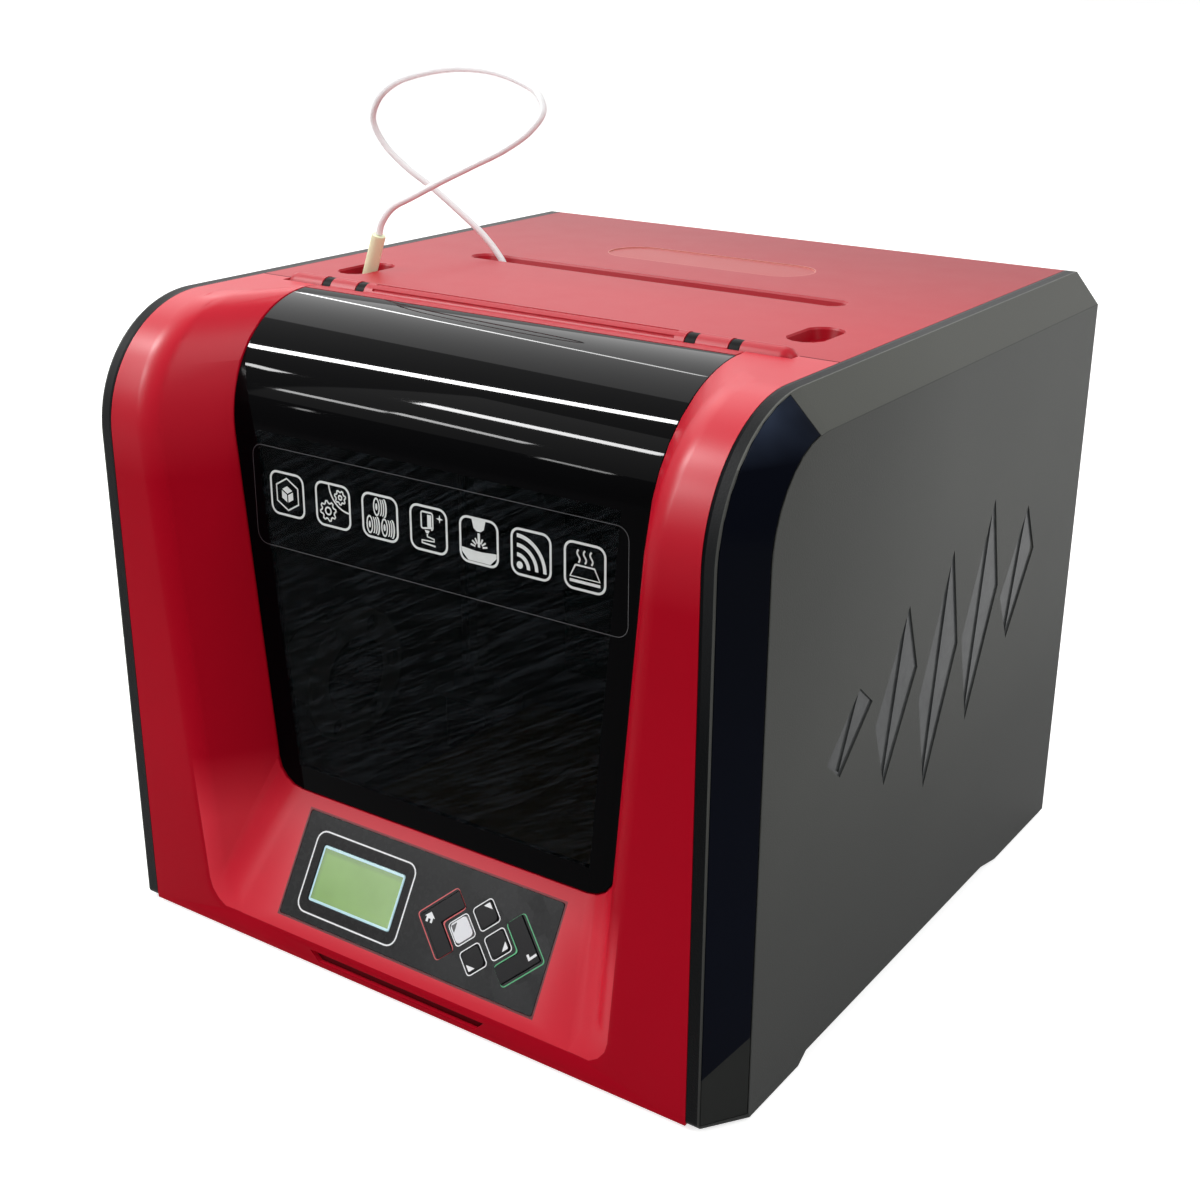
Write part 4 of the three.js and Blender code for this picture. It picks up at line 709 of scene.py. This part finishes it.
footRound = {"radius": 3.6, "cuts": [0.4, 1.1, 2.2, 3.6], "reach": 30}


def roundFoot(piece):
    # the front of the foot, drawn back in a quarter round
    bpy.ops.object.mode_set(mode="EDIT")
    for height in footRound["cuts"]:
        bpy.ops.mesh.select_all(action="SELECT")
        bpy.ops.mesh.bisect(plane_co=place(0, 0, height), plane_no=(0, 0, 1))
    bpy.ops.object.mode_set(mode="OBJECT")
    radius = footRound["radius"]
    for vertex in piece.data.vertices:
        height = max(0, (vertex.co.z - place(0, 0, 0).z) / mm)
        back = (vertex.co.y - place(0, 0, 0).y) / mm
        if height < radius and back < footRound["reach"]:
            pull = radius - math.sqrt(radius ** 2 - (radius - height) ** 2)
            vertex.co.y += pull * (1 - back / footRound["reach"]) * mm


def refined(nodeName, name, body, finish, edge, steps=2, angle=34):
    # a CAD body again, with its flat facets joined, its edges broken and its curves smooth
    deselect()
    source = nodes[nodeName]
    copy = source.copy()
    copy.data = source.data.copy()
    copy.name = name
    copy.parent = None
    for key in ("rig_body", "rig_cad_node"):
        del copy[key]
    bpy.context.collection.objects.link(copy)
    pick(copy)
    bpy.ops.object.mode_set(mode="EDIT")
    bpy.ops.mesh.select_all(action="SELECT")
    bpy.ops.mesh.remove_doubles(threshold=0.00001)
    bpy.ops.mesh.dissolve_limited(angle_limit=math.radians(0.4))
    bpy.ops.mesh.quads_convert_to_tris(quad_method="BEAUTY", ngon_method="BEAUTY")
    bpy.ops.mesh.tris_convert_to_quads(face_threshold=math.radians(1), shape_threshold=math.radians(60))
    bpy.ops.object.mode_set(mode="OBJECT")
    if nodeName == "front_shell":
        softenPillars(copy)
    roundCorner(copy)
    if nodeName.startswith("side_"):
        roundFoot(copy)
    modify(copy, "BEVEL", width=edge * mm, segments=steps, limit_method="ANGLE",
           angle_limit=math.radians(angle), miter_outer="MITER_SHARP", use_clamp_overlap=True)
    smoothBy(copy, angle)
    modify(copy, "WEIGHTED_NORMAL", mode="FACE_AREA", weight=50, keep_sharp=True)
    dress(copy, finish)
    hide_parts(nodeName)
    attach(copy, body)
    return copy


def bodyOf(nodeName):
    bodies = frame["record"]["behaviour"]["bodies"]
    return next(body for body, members in bodies.items() if nodeName in members)


print("housing")
housing = {
    "front_shell": ("frontShell", "red", 0.7),
    "top_cover": ("topCover", "redTop", 0.6),
    "side_panel_right": ("sidePanelRight", "panel", 0.4),
    "side_panel_left": ("sidePanelLeft", "panel", 0.4),
    "side_trim_right": ("sideTrimRight", "strip", 0.5),
    "side_trim_left": ("sideTrimLeft", "strip", 0.5),
    "door_window": ("doorWindow", "door", 0.5),
    "door_top_rail": ("doorTopRail", "redTop", 0.4),
    "hinge_pin_right": ("hingePinRight", "collar", 0.4),
    "hinge_pin_left": ("hingePinLeft", "collar", 0.4),
    "control_overlay": ("controlOverlay", "overlay", 0.15),
    "rear_cover": ("rearCover", "rear", 0.4),
    "tube_fitting": ("tubeFitting", "tan", 0.5),
    "head_housing": ("headHousing", "black", 0.6),
    "x_carriage": ("headCarriage", "black", 0.5),
    "spool_hub": ("spoolHub", "grey", 0.5),
    "power_inlet": ("powerInlet", "collar", 0.3),
    "power_rocker": ("powerRocker", "black", 0.3),
    "feeder_housing": ("feederHousing", "black", 0.5),
}
for nodeName, (name, finish, edge) in housing.items():
    refined(nodeName, name, bodyOf(nodeName), finish, edge)

lipGrip = {
    "width": 128, "foot": 2.8, "head": 10, "front": 3.04, "depth": 0.22, "rim": 0.8, "hollow": 0.5,
    "edge": 0.03,
}


def addGripBack():
    # a shallow red pan behind the finger slot, in a darker red as painted shade
    height = lipGrip["head"] - lipGrip["foot"]
    middle = place(0, lipGrip["front"] + lipGrip["depth"] / 2, lipGrip["foot"] + height / 2)
    scale = (lipGrip["width"] * mm, lipGrip["depth"] * mm, height * mm)
    bpy.ops.mesh.primitive_cube_add(size=1, location=middle, scale=scale)
    pan = applyPlace(bpy.context.object)
    pan.name = "gripBack"
    for face in pan.data.polygons:
        face.select = face.normal.y < -0.9
    bpy.ops.object.mode_set(mode="EDIT")
    bpy.ops.mesh.select_mode(type="FACE")
    bpy.ops.mesh.inset(thickness=lipGrip["rim"] * mm)
    bpy.ops.transform.translate(value=(0, lipGrip["depth"] * lipGrip["hollow"] * mm, 0))
    bpy.ops.object.mode_set(mode="OBJECT")
    modify(pan, "BEVEL", width=lipGrip["edge"] * mm, segments=2, limit_method="ANGLE")
    smoothBy(pan)
    # painted shade: the pan in the darker red
    dress(pan, "shadedWell")
    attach(pan, "machine")


addGripBack()

print("inner pieces")
inner = {
    "chassis": "chassis", "power_supply": "chassis", "display_module": "display", "z_motor_right": "motor",
    "z_motor_left": "motor", "x_motor": "motor", "y_motor": "motor", "z_screw_right": "screw",
    "z_screw_left": "screw", "x_pulley": "aluminium", "y_pulley": "aluminium", "bed_carriage": "aluminium",
    "heated_bed": "aluminium", "print_surface": "tape", "nozzle": "brass", "main_board": "board",
    "head_tube": "tube", "x_belt": "belt", "y_belt": "belt", "x_end_right": "black", "x_end_left": "black",
    "head_fan": "black", "spool_bracket": "black",
}
for nodeName, finish in inner.items():
    piece = refined(nodeName, nodeName + "_body", bodyOf(nodeName), finish, 0.25, 1)
for nodeName in ("foot_front_right", "foot_front_left", "foot_rear_right", "foot_rear_left"):
    refined(nodeName, nodeName + "_body", "machine", "rubber", 0.3, 2)

rearScrews = {
    "radius": 3.3, "height": 1.3, "socket": 1.5, "sink": 0.8, "edge": 0.45, "back": 415,
    "at": [(176, 14), (176, 170), (176, 328), (-176, 14), (-176, 170), (-176, 328), (0, 14), (0, 328)],
}


def addRearScrews():
    # domed hexagon-socket heads round the rear cover
    heads = []
    depth = rearScrews["height"] * mm
    turn = (math.pi / 2, 0, 0)
    for x, z in rearScrews["at"]:
        at = place(x, rearScrews["back"] + rearScrews["height"] / 2, z)
        head = cylinder(32, rearScrews["radius"] * mm, depth, at, turn)
        modify(head, "BEVEL", width=rearScrews["edge"] * mm, segments=3, limit_method="ANGLE")
        out = at + Vector((0, depth / 2, 0))
        cutter = cylinder(6, rearScrews["socket"] * mm, rearScrews["sink"] * 2 * mm, out, turn)
        modify(head, "BOOLEAN", operation="DIFFERENCE", object=cutter, solver="EXACT")
        bpy.data.objects.remove(cutter)
        heads.append(smoothBy(head))
    screws = joined(heads)
    screws.name = "rearScrews"
    dress(screws, "steel")
    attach(screws, "machine")


rods = {"sides": 40, "chamfer": 0.6}


def roundRod(nodeName):
    # a round bar along the longest side of the node's box
    low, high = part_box(nodeName)
    size = high - low
    axis = max(range(3), key=lambda i: size[i])
    turn = [(0, math.pi / 2, 0), (math.pi / 2, 0, 0), (0, 0, 0)][axis]
    rod = cylinder(rods["sides"], min(size) / 2, size[axis], (low + high) / 2, turn)
    rod.name = nodeName + "_bar"
    modify(rod, "BEVEL", width=rods["chamfer"] * mm, segments=2, limit_method="ANGLE")
    smoothBy(rod)
    dress(rod, "rod")
    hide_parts(nodeName)
    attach(rod, bodyOf(nodeName))


for nodeName in ("z_rod_right", "z_rod_left", "x_rod_upper", "x_rod_lower", "y_rod_right", "y_rod_left"):
    roundRod(nodeName)

addRearScrews()

print("keys")
keys = {
    "x": 45.3, "up": 38.2, "pitch": 12.2, "proud": 0.6, "size": 14.2, "corner": 2.3, "line": 0.6,
    "outer": 43.3, "inner": 24.8, "reach": 20.8, "bend": 2.4, "bendLess": 0.4, "slant": 1.41,
    "mark": 4.2, "markSide": 11.8, "markInset": 1.3, "markBend": 0.5,
}
ink = {"height": 0.12, "lift": 0.02}


def polyCurve(name, dimensions, paths, closed=False):
    curve = bpy.data.curves.new(name, "CURVE")
    curve.dimensions = dimensions
    for path in paths:
        spline = curve.splines.new("POLY")
        spline.points.add(len(path) - 1)
        for point, at in zip(spline.points, path):
            point.co = (*at, 1)
        spline.use_cyclic_u = closed
    return curve


def tubeCurve(name, paths, radius, steps):
    curve = polyCurve(name, "3D", paths)
    curve.bevel_depth = radius
    curve.bevel_resolution = steps
    curve.use_fill_caps = True
    return curve


def printed(name, curve, matrix, finish, body):
    # the curve as a mesh, laid on its surface
    shape = bpy.data.objects.new(name, curve)
    bpy.context.collection.objects.link(shape)
    pick(shape)
    bpy.ops.object.convert(target="MESH")
    shape = bpy.context.object
    shape.data.transform(matrix)
    dress(shape, finish)
    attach(shape, body)
    return shape


def plate(name, outlines, matrix, finish, body):
    # filled shapes, where an outline inside another is a hole
    curve = polyCurve(name, "2D", [[(x, y, 0) for x, y in outline] for outline in outlines], True)
    curve.fill_mode = "BOTH"
    curve.extrude = ink["height"] / 2
    return printed(name, curve, matrix @ Matrix.Scale(mm, 4), finish, body)


def softened(points, radius, steps=4):
    # the same outline with its corners rounded
    path = []
    for i, point in enumerate(points):
        corner = Vector(point)
        before = corner + (Vector(points[i - 1]) - corner).normalized() * radius
        after = corner + (Vector(points[(i + 1) % len(points)]) - corner).normalized() * radius
        for step in range(steps + 1):
            t = step / steps
            path.append(tuple(before * (1 - t) ** 2 + corner * 2 * t * (1 - t) + after * t * t))
    return path


def ribbon(name, paths, width, matrix, finish, body):
    # lines as thin tubes, pressed flat
    curve = tubeCurve(name, [[(x * mm, y * mm, 0) for x, y in path] for path in paths], width / 2 * mm, 1)
    flat = Matrix.Diagonal((1, 1, ink["height"] / width, 1))
    return printed(name, curve, matrix @ flat, finish, body)


def roundedPath(x, y, width, height, corner, steps=5):
    path = []
    for quarter, (sx, sy) in enumerate(((1, -1), (1, 1), (-1, 1), (-1, -1))):
        for i in range(steps + 1):
            angle = math.pi / 2 * (quarter - 1 + i / steps)
            path.append((x + sx * (width / 2 - corner) + corner * math.cos(angle),
                         y + sy * (height / 2 - corner) + corner * math.sin(angle)))
    return path


def ringPaths(x, y, width, height, corner, line):
    # the outer and the inner outline of a printed frame
    return [roundedPath(x, y, width, height, corner),
            roundedPath(x, y, width - 2 * line, height - 2 * line, corner - line)]


def turnedPath(path, angle, x=0, y=0):
    c, s = math.cos(angle), math.sin(angle)
    return [(x + c * px - s * py, y + s * px + c * py) for px, py in path]


def shifted(path, x, y):
    return [(x + px, y + py) for px, py in path]


def chevron(inset, sign):
    # one bent key: two arms round a corner, drawn inside its printed edge
    outer, inner = keys["outer"] - inset * keys["slant"], keys["inner"] + inset * keys["slant"]
    reach = keys["reach"] - inset
    tip = reach - (outer - inner) / 2
    path = [(outer, 0), (outer - reach, reach), (inner - tip, tip), (inner, 0), (inner - tip, -tip),
            (outer - reach, -reach)]
    return shifted([(sign * x, y) for x, y in path], keys["x"], keys["up"])


onKey = slopeMatrix @ Matrix.Translation((0, 0, (keys["proud"] + ink["lift"]) * mm))
onOverlay = slopeMatrix @ Matrix.Translation((0, 0, ink["lift"] * mm))
house = [
    (0, 3.2), (3.4, 0.2), (2.2, 0.2), (2.2, -2.6), (0.8, -2.6), (0.8, -0.6), (-0.8, -0.6), (-0.8, -2.6),
    (-2.2, -2.6), (-2.2, 0.2), (-3.4, 0.2),
]
tick = [(-2.9, 0.2), (-1.9, 1.2), (-0.5, -0.3), (2.4, 2.9), (3.4, 2), (-0.5, -2.3)]
arrow = [(0, 0), (-keys["mark"], 0), (0, -keys["mark"])]
arrowKeys = {"key_left": (-1, 0), "key_right": (1, 0), "key_up": (0, 1), "key_down": (0, -1)}
farMark = keys["markSide"] / 2 * keys["slant"] - keys["markInset"]

for nodeName, side in arrowKeys.items():
    body = bodyOf(nodeName)
    lit = nodeName == "key_left"
    refined(nodeName, nodeName + "_cap", body, "keyLit" if lit else "key", 0.2, 2)
    x, y = keys["x"] + keys["pitch"] * side[0], keys["up"] + keys["pitch"] * side[1]
    rings = ringPaths(0, 0, keys["size"], keys["size"], keys["corner"], keys["line"])
    rings = [turnedPath(path, math.pi / 4, x, y) for path in rings]
    plate(nodeName + "_frame", rings, onOverlay, "white", "machine")
    heading = math.atan2(side[1], side[0]) - math.pi / 4
    mark = turnedPath(arrow, heading, x + side[0] * farMark, y + side[1] * farMark)
    plate(nodeName + "_mark", [softened(mark, keys["markBend"])], onKey, "darkInk" if lit else "white", body)

for nodeName, finish, sign, symbol in (("key_home", "redInk", -1, house), ("key_enter", "greenInk", 1, tick)):
    body = bodyOf(nodeName)
    refined(nodeName, nodeName + "_cap", body, "key", 0.2, 2)
    outside = softened(chevron(0, sign), keys["bend"])
    inside = softened(chevron(keys["line"], sign), keys["bend"] - keys["bendLess"])
    plate(nodeName + "_frame", [outside, inside], onOverlay, finish, "machine")
    middle = keys["x"] + sign * (keys["outer"] + keys["inner"]) / 2
    plate(nodeName + "_symbol", [shifted(symbol, middle, keys["up"])], onKey, "white", body)

displayFrame = {"x": -43, "y": 38.4, "width": 73.4, "height": 47.6, "corner": 6.6, "line": 0.9}
plate("displayFrame", ringPaths(**displayFrame), onOverlay, "white", "machine")

print("door graphics")
icons = {
    "x": [-97.6, -64.5, -31.6, 1.2, 33.8, 66.3, 98.6], "z": 260.7, "size": 25, "corner": 5.4, "line": 1.25,
    "thin": 1.0,
}
film = {"x": 1, "y": 257.5, "width": 246, "height": 57, "corner": 7, "line": 0.3}


def arc(x, y, radius, start, end, steps=14, squash=1.0):
    turns = [start + (end - start) * i / steps for i in range(steps + 1)]
    return [(x + radius * math.cos(turn), y + squash * radius * math.sin(turn)) for turn in turns]


def disc(x, y, across, high, steps=16):
    angles = [full * i / steps for i in range(steps)]
    return [(x + across * math.cos(angle), y + high * math.sin(angle)) for angle in angles]


def bar(x, y, width, height):
    return [(x + sx * width / 2, y + sy * height / 2) for sx, sy in ((-1, -1), (1, -1), (1, 1), (-1, 1))]


def gear(x, y, radius, teeth):
    path = []
    for i in range(teeth * 4):
        angle = full * (i + 0.5) / (teeth * 4)
        far = radius if i % 4 < 2 else radius * 0.78
        path.append((x + far * math.cos(angle), y + far * math.sin(angle)))
    return [*path, path[0]]


def star(x, y, radius):
    points = [((radius, radius * 0.32)[i % 2], math.pi * i / 4) for i in range(8)]
    return [(x + far * math.cos(turn), y + far * math.sin(turn)) for far, turn in points]


def reel(x, y):
    # a reel seen aslant: the ring of its near flange, two windings, and the far flange
    windings = [arc(x + at, y, 1.5, -1.2, 1.2, 6, 3.2) + arc(x + at - 0.75, y, 1.5, 1.2, -1.2, 6, 3.2)
                for at in (0.2, 1.7)]
    flange = arc(x + 3.2, y, 1.7, -1.4, 1.4, 8, 3) + arc(x + 2.2, y, 1.7, 1.4, -1.4, 8, 3)
    near = [disc(x - 2.2, y, across, high) for across, high in ((2.3, 5.1), (1.5, 4.1), (0.7, 1.9))]
    return [*near, flange, *windings]


def cubeSide(turn):
    side = [(0, 0.5), (3.6, 2.6), (0, 4.7), (-3.6, 2.6)]
    return turnedPath(side, math.radians(turn))


def ray(angle):
    turn = math.radians(angle)
    return [(far * math.cos(turn), far * math.sin(turn) - 3.4) for far in (2.4, 5.4)]


def waveBand(radius):
    # a quarter ring round the lower left corner
    half = math.pi / 2
    return arc(-8.6, -8.6, radius + 1, 0, half) + arc(-8.6, -8.6, radius - 1, half, 0)


def heatWave(x):
    turns = [full * i / 10 for i in range(11)]
    return [(x + 0.8 * math.sin(turn), 1.8 + 6.6 * turn / full) for turn in turns]


extruder = [(-4.4, 11.2), (4.4, 11.2), (3.2, 6.6), (1.2, 5.2), (-1.2, 5.2), (-3.2, 6.6)]
dish = [(-11, -4.6), (-2, -5.4), (2, -5.4), (11, -4.6), (11, -7), (7, -11), (-7, -11), (-11, -7)]
strand = [(-1, -2.8), (-1, -4.2), (3.4, -4.8), (3.4, -6.2), (-4.6, -6.6), (-4.6, -8), (4.2, -8.6)]
tip = [(-2.6, -0.8), (0.6, -0.8), (-0.3, -2.4), (-1.7, -2.4)]
tray = [(-5.6, 0.4), (5.6, 0.4), (8.8, -5.8), (-8.8, -5.8), (-5.6, 0.4)]
glyphs = [
    {
        "lines": [arc(0, 0, 9, math.pi / 6, math.pi / 6 + full, 6)],
        "fills": [cubeSide(turn) for turn in (0, 120, 240)],
    },
    {
        "lines": [gear(-3.6, -3.6, 5.6, 8), arc(-3.6, -3.6, 2, 0, full), gear(5.4, 5.4, 3.9, 7),
                  arc(5.4, 5.4, 1.2, 0, full, 8), arc(12, 12, 14.4, math.pi, 1.5 * math.pi)],
        "fills": [],
    },
    {
        "lines": [],
        "fills": reel(0, 5.3) + reel(-5.1, -5.1) + reel(5.1, -5.1),
    },
    {
        "lines": [roundedPath(-1, 4.4, 7.6, 9, 1.2) + [(2.8, 1.1)], strand],
        "fills": [bar(0.6, 4.4, 2.6, 6.6), tip, star(7.4, 6.8, 2.2)],
    },
    {
        "lines": [ray(angle) for angle in (12, 38, 64, 116, 142, 168)],
        "fills": [extruder, bar(0, 0.6, 1.5, 7.4), dish],
    },
    {
        "lines": [],
        "fills": [disc(-7, -7, 1.9, 1.9), *(waveBand(radius) for radius in (7, 12, 17))],
    },
    {
        "lines": [tray, *(heatWave(x) for x in (-3.8, 0, 3.8))],
        "fills": [bar(0, -7.9, 18, 1.5)],
    },
]
doorFace = place(0, bodyCorner["recess"] - ink["lift"], 0)
doorFront = Matrix.Translation(doorFace) @ Matrix.Rotation(math.pi / 2, 4, "X")
for number, (x, glyph) in enumerate(zip(icons["x"], glyphs), 1):
    ring = ringPaths(x, icons["z"], icons["size"], icons["size"], icons["corner"], icons["line"])
    drawn = [plate(f"icon{number}", ring, doorFront, "iconInk", "door")]
    if glyph["fills"]:
        fills = [shifted(path, x, icons["z"]) for path in glyph["fills"]]
        drawn.append(plate(f"icon{number}Fill", fills, doorFront, "iconInk", "door"))
    if glyph["lines"]:
        lines = [shifted(path, x, icons["z"]) for path in glyph["lines"]]
        drawn.append(ribbon(f"icon{number}Line", lines, icons["thin"], doorFront, "iconInk", "door"))
    joined(drawn)

plate("doorFilmEdge", ringPaths(**film), doorFront, "filmEdge", "door")

print("guide tube")
tube = {
    "diameter": 4,
    "route": [
        (-139.084, 168.0, 379.112), (-136.69, 168.0, 385.69), (-129, 169, 395), (-115, 171, 402.5),
        (-97, 174.5, 412), (-77, 179, 422), (-57, 183, 432), (-42, 187, 443), (-36, 190.5, 453),
        (-41.5, 193.5, 461.5), (-57, 197, 467.5), (-80, 201, 471.5), (-107.5, 206, 471.5),
        (-136.5, 211.5, 467.5), (-164, 216, 460), (-182, 220, 449), (-189.5, 223, 436.5), (-185, 226.5, 423),
        (-171, 230, 409.5), (-153.5, 234.5, 397.5), (-136, 238, 384.5), (-120.5, 241, 372),
        (-110.5, 243, 361), (-105, 243.5, 353), (-104, 243.5, 347),
    ],
}


def between(first, last, start, end, t):
    return first * ((end - t) / (end - start)) + last * ((t - start) / (end - start))


def smoothLine(points, steps=8):
    # a smooth centripetal line through the points
    ends = [points[0] * 2 - points[1], *points, points[-1] * 2 - points[-2]]
    line = []
    for i in range(1, len(ends) - 2):
        a, b, c, d = ends[i - 1:i + 3]
        t0 = 0
        t1 = t0 + (b - a).length ** 0.5
        t2 = t1 + (c - b).length ** 0.5
        t3 = t2 + (d - c).length ** 0.5
        for step in range(steps):
            t = t1 + (t2 - t1) * step / steps
            ab = between(a, b, t0, t1, t)
            bc = between(b, c, t1, t2, t)
            cd = between(c, d, t2, t3, t)
            abc = between(ab, bc, t0, t2, t)
            bcd = between(bc, cd, t1, t3, t)
            line.append(between(abc, bcd, t1, t2, t))
    return [*line, points[-1]]


def addTube():
    line = smoothLine([place(*point) for point in tube["route"]])
    curve = tubeCurve("guideTube", [line], tube["diameter"] / 2 * mm, 5)
    hose = bpy.data.objects.new("guideTube", curve)
    bpy.context.collection.objects.link(hose)
    curve.materials.append(finishes["tube"])
    length = sum((b - a).length for a, b in zip(line, line[1:]))
    print(f"guide tube {length:.4f} m")
    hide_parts("guide_tube")
    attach(hose, "machine")


addTube()

print("stage")
stage = {
    "floor": 30, "level": 0.46, "glow": 0.7, "reach": 3.5, "facing": (0, 60, 330),
    "streaks": [
        (-140, 41.0, 140, 42.0, 0.16, 190),
        (-140, 32.5, -108, 31.5, 0.09, 90),
        (-107, 24.0, -30, 23.5, 0.08, 90),
        (-25, 24.0, 62, 22.5, 0.08, 110),
        (-10, 30.0, 138, 28.5, 0.13, 170),
        (-92, 17.5, -80, 17.5, 0.06, 70),
        (70, 18.0, 112, 17.5, 0.06, 90),
        (-135, 79.0, 138, 66.0, 0.04, 20),
    ],
}


def seenWhite(tree, output):
    # 1 for rays that look at the background: from the camera, or by way of gloss or glass
    rays = tree.nodes.new("ShaderNodeLightPath").outputs
    total = rays["Is Camera Ray"]
    for kind in ("Is Glossy Ray", "Is Transmission Ray"):
        most = tree.nodes.new("ShaderNodeMath")
        most.operation = "MAXIMUM"
        tree.links.new(total, most.inputs[0])
        tree.links.new(rays[kind], most.inputs[1])
        total = most.outputs[0]
    tree.links.new(total, output)


def addStage():
    floorPaint = Paint("paleFloor", (0.68, 0.68, 0.68, 1), 0.7)
    floorPaint.set("Specular IOR Level", 0.1)
    floorPaint.set("Emission Color", (1, 1, 1, 1))
    glow = floorPaint.node("Math", {"operation": "MULTIPLY"}, {1: stage["glow"]})
    seenWhite(floorPaint.tree, glow.socket.node.inputs[0])
    floorPaint.set("Emission Strength", glow)
    bpy.ops.mesh.primitive_plane_add(size=stage["floor"], location=(0, 0, 0))
    floor = bpy.context.object
    floor.name = "floor"
    floor.data.materials.append(floorPaint.material)
    world = bpy.data.worlds.new("studio")
    bpy.context.scene.world = world
    world.use_nodes = True
    backdrop = world.node_tree.nodes["Background"]
    backdrop.inputs["Color"].default_value = (1, 1, 1, 1)
    strength = world.node_tree.nodes.new("ShaderNodeMapRange")
    strength.inputs["To Min"].default_value = stage["level"]
    strength.inputs["To Max"].default_value = 1.0
    seenWhite(world.node_tree, strength.inputs["Value"])
    world.node_tree.links.new(strength.outputs[0], backdrop.inputs["Strength"])


def addLamp(name, at, target, size, power):
    bpy.ops.object.light_add(type="AREA", location=at)
    lamp = bpy.context.object
    lamp.name = name
    lamp.data.shape = "RECTANGLE"
    lamp.data.size = size
    lamp.data.size_y = size
    lamp.data.energy = power
    lamp.rotation_euler = (Vector(target) - Vector(at)).to_track_quat("-Z", "Y").to_euler()
    return lamp


def mirrored(x, angle):
    # the point that the door's curved top mirrors to the camera
    turn = math.radians(angle)
    radius = bodyCorner["radius"]
    y = bodyCorner["recess"] + radius - radius * math.cos(turn)
    spot = place(x, y, bodyCorner["height"] + radius * math.sin(turn))
    outward = Vector((0, -math.cos(turn), math.sin(turn)))
    view = (Vector(camera["at"]) - spot).normalized()
    return spot + (outward * 2 * outward.dot(view) - view) * stage["reach"]


def addStreak(number, x1, angle1, x2, angle2, width, brightness):
    # a long thin ceiling lamp, which only gloss shows
    first, last = mirrored(x1, angle1), mirrored(x2, angle2)
    middle = (first + last) / 2
    length = (last - first).length
    along = (last - first).normalized()
    toward = (place(*stage["facing"]) - middle).normalized()
    side = (-toward).cross(along).normalized()
    power = brightness * math.pi * length * width
    lamp = addLamp(f"streak{number}", middle, middle + toward, length, power)
    lamp.data.size_y = width
    lamp.rotation_euler = Matrix((along, side, along.cross(side))).transposed().to_euler()
    lamp.visible_camera = False
    lamp.visible_diffuse = False


addStage()
addLamp("ceiling", (-1.6, 1.2, 2.6), (0, 0, 0.3), 2.6, 42)
overhead = addLamp("overhead", (-1.7, -1.3, 2.7), (0, 0, 0.3), 1.6, 40)
overhead.visible_glossy = False
addLamp("frontFill", (-1.4, -2.3, 1.7), (0, 0, 0.2), 1.6, 14)
addLamp("rightFill", (2.1, -0.3, 2.2), (0, 0, 0.25), 1.4, 28)
for number, streak in enumerate(stage["streaks"], 1):
    addStreak(number, *streak)

bpy.context.scene.view_settings.view_transform = "Standard"

print("done")
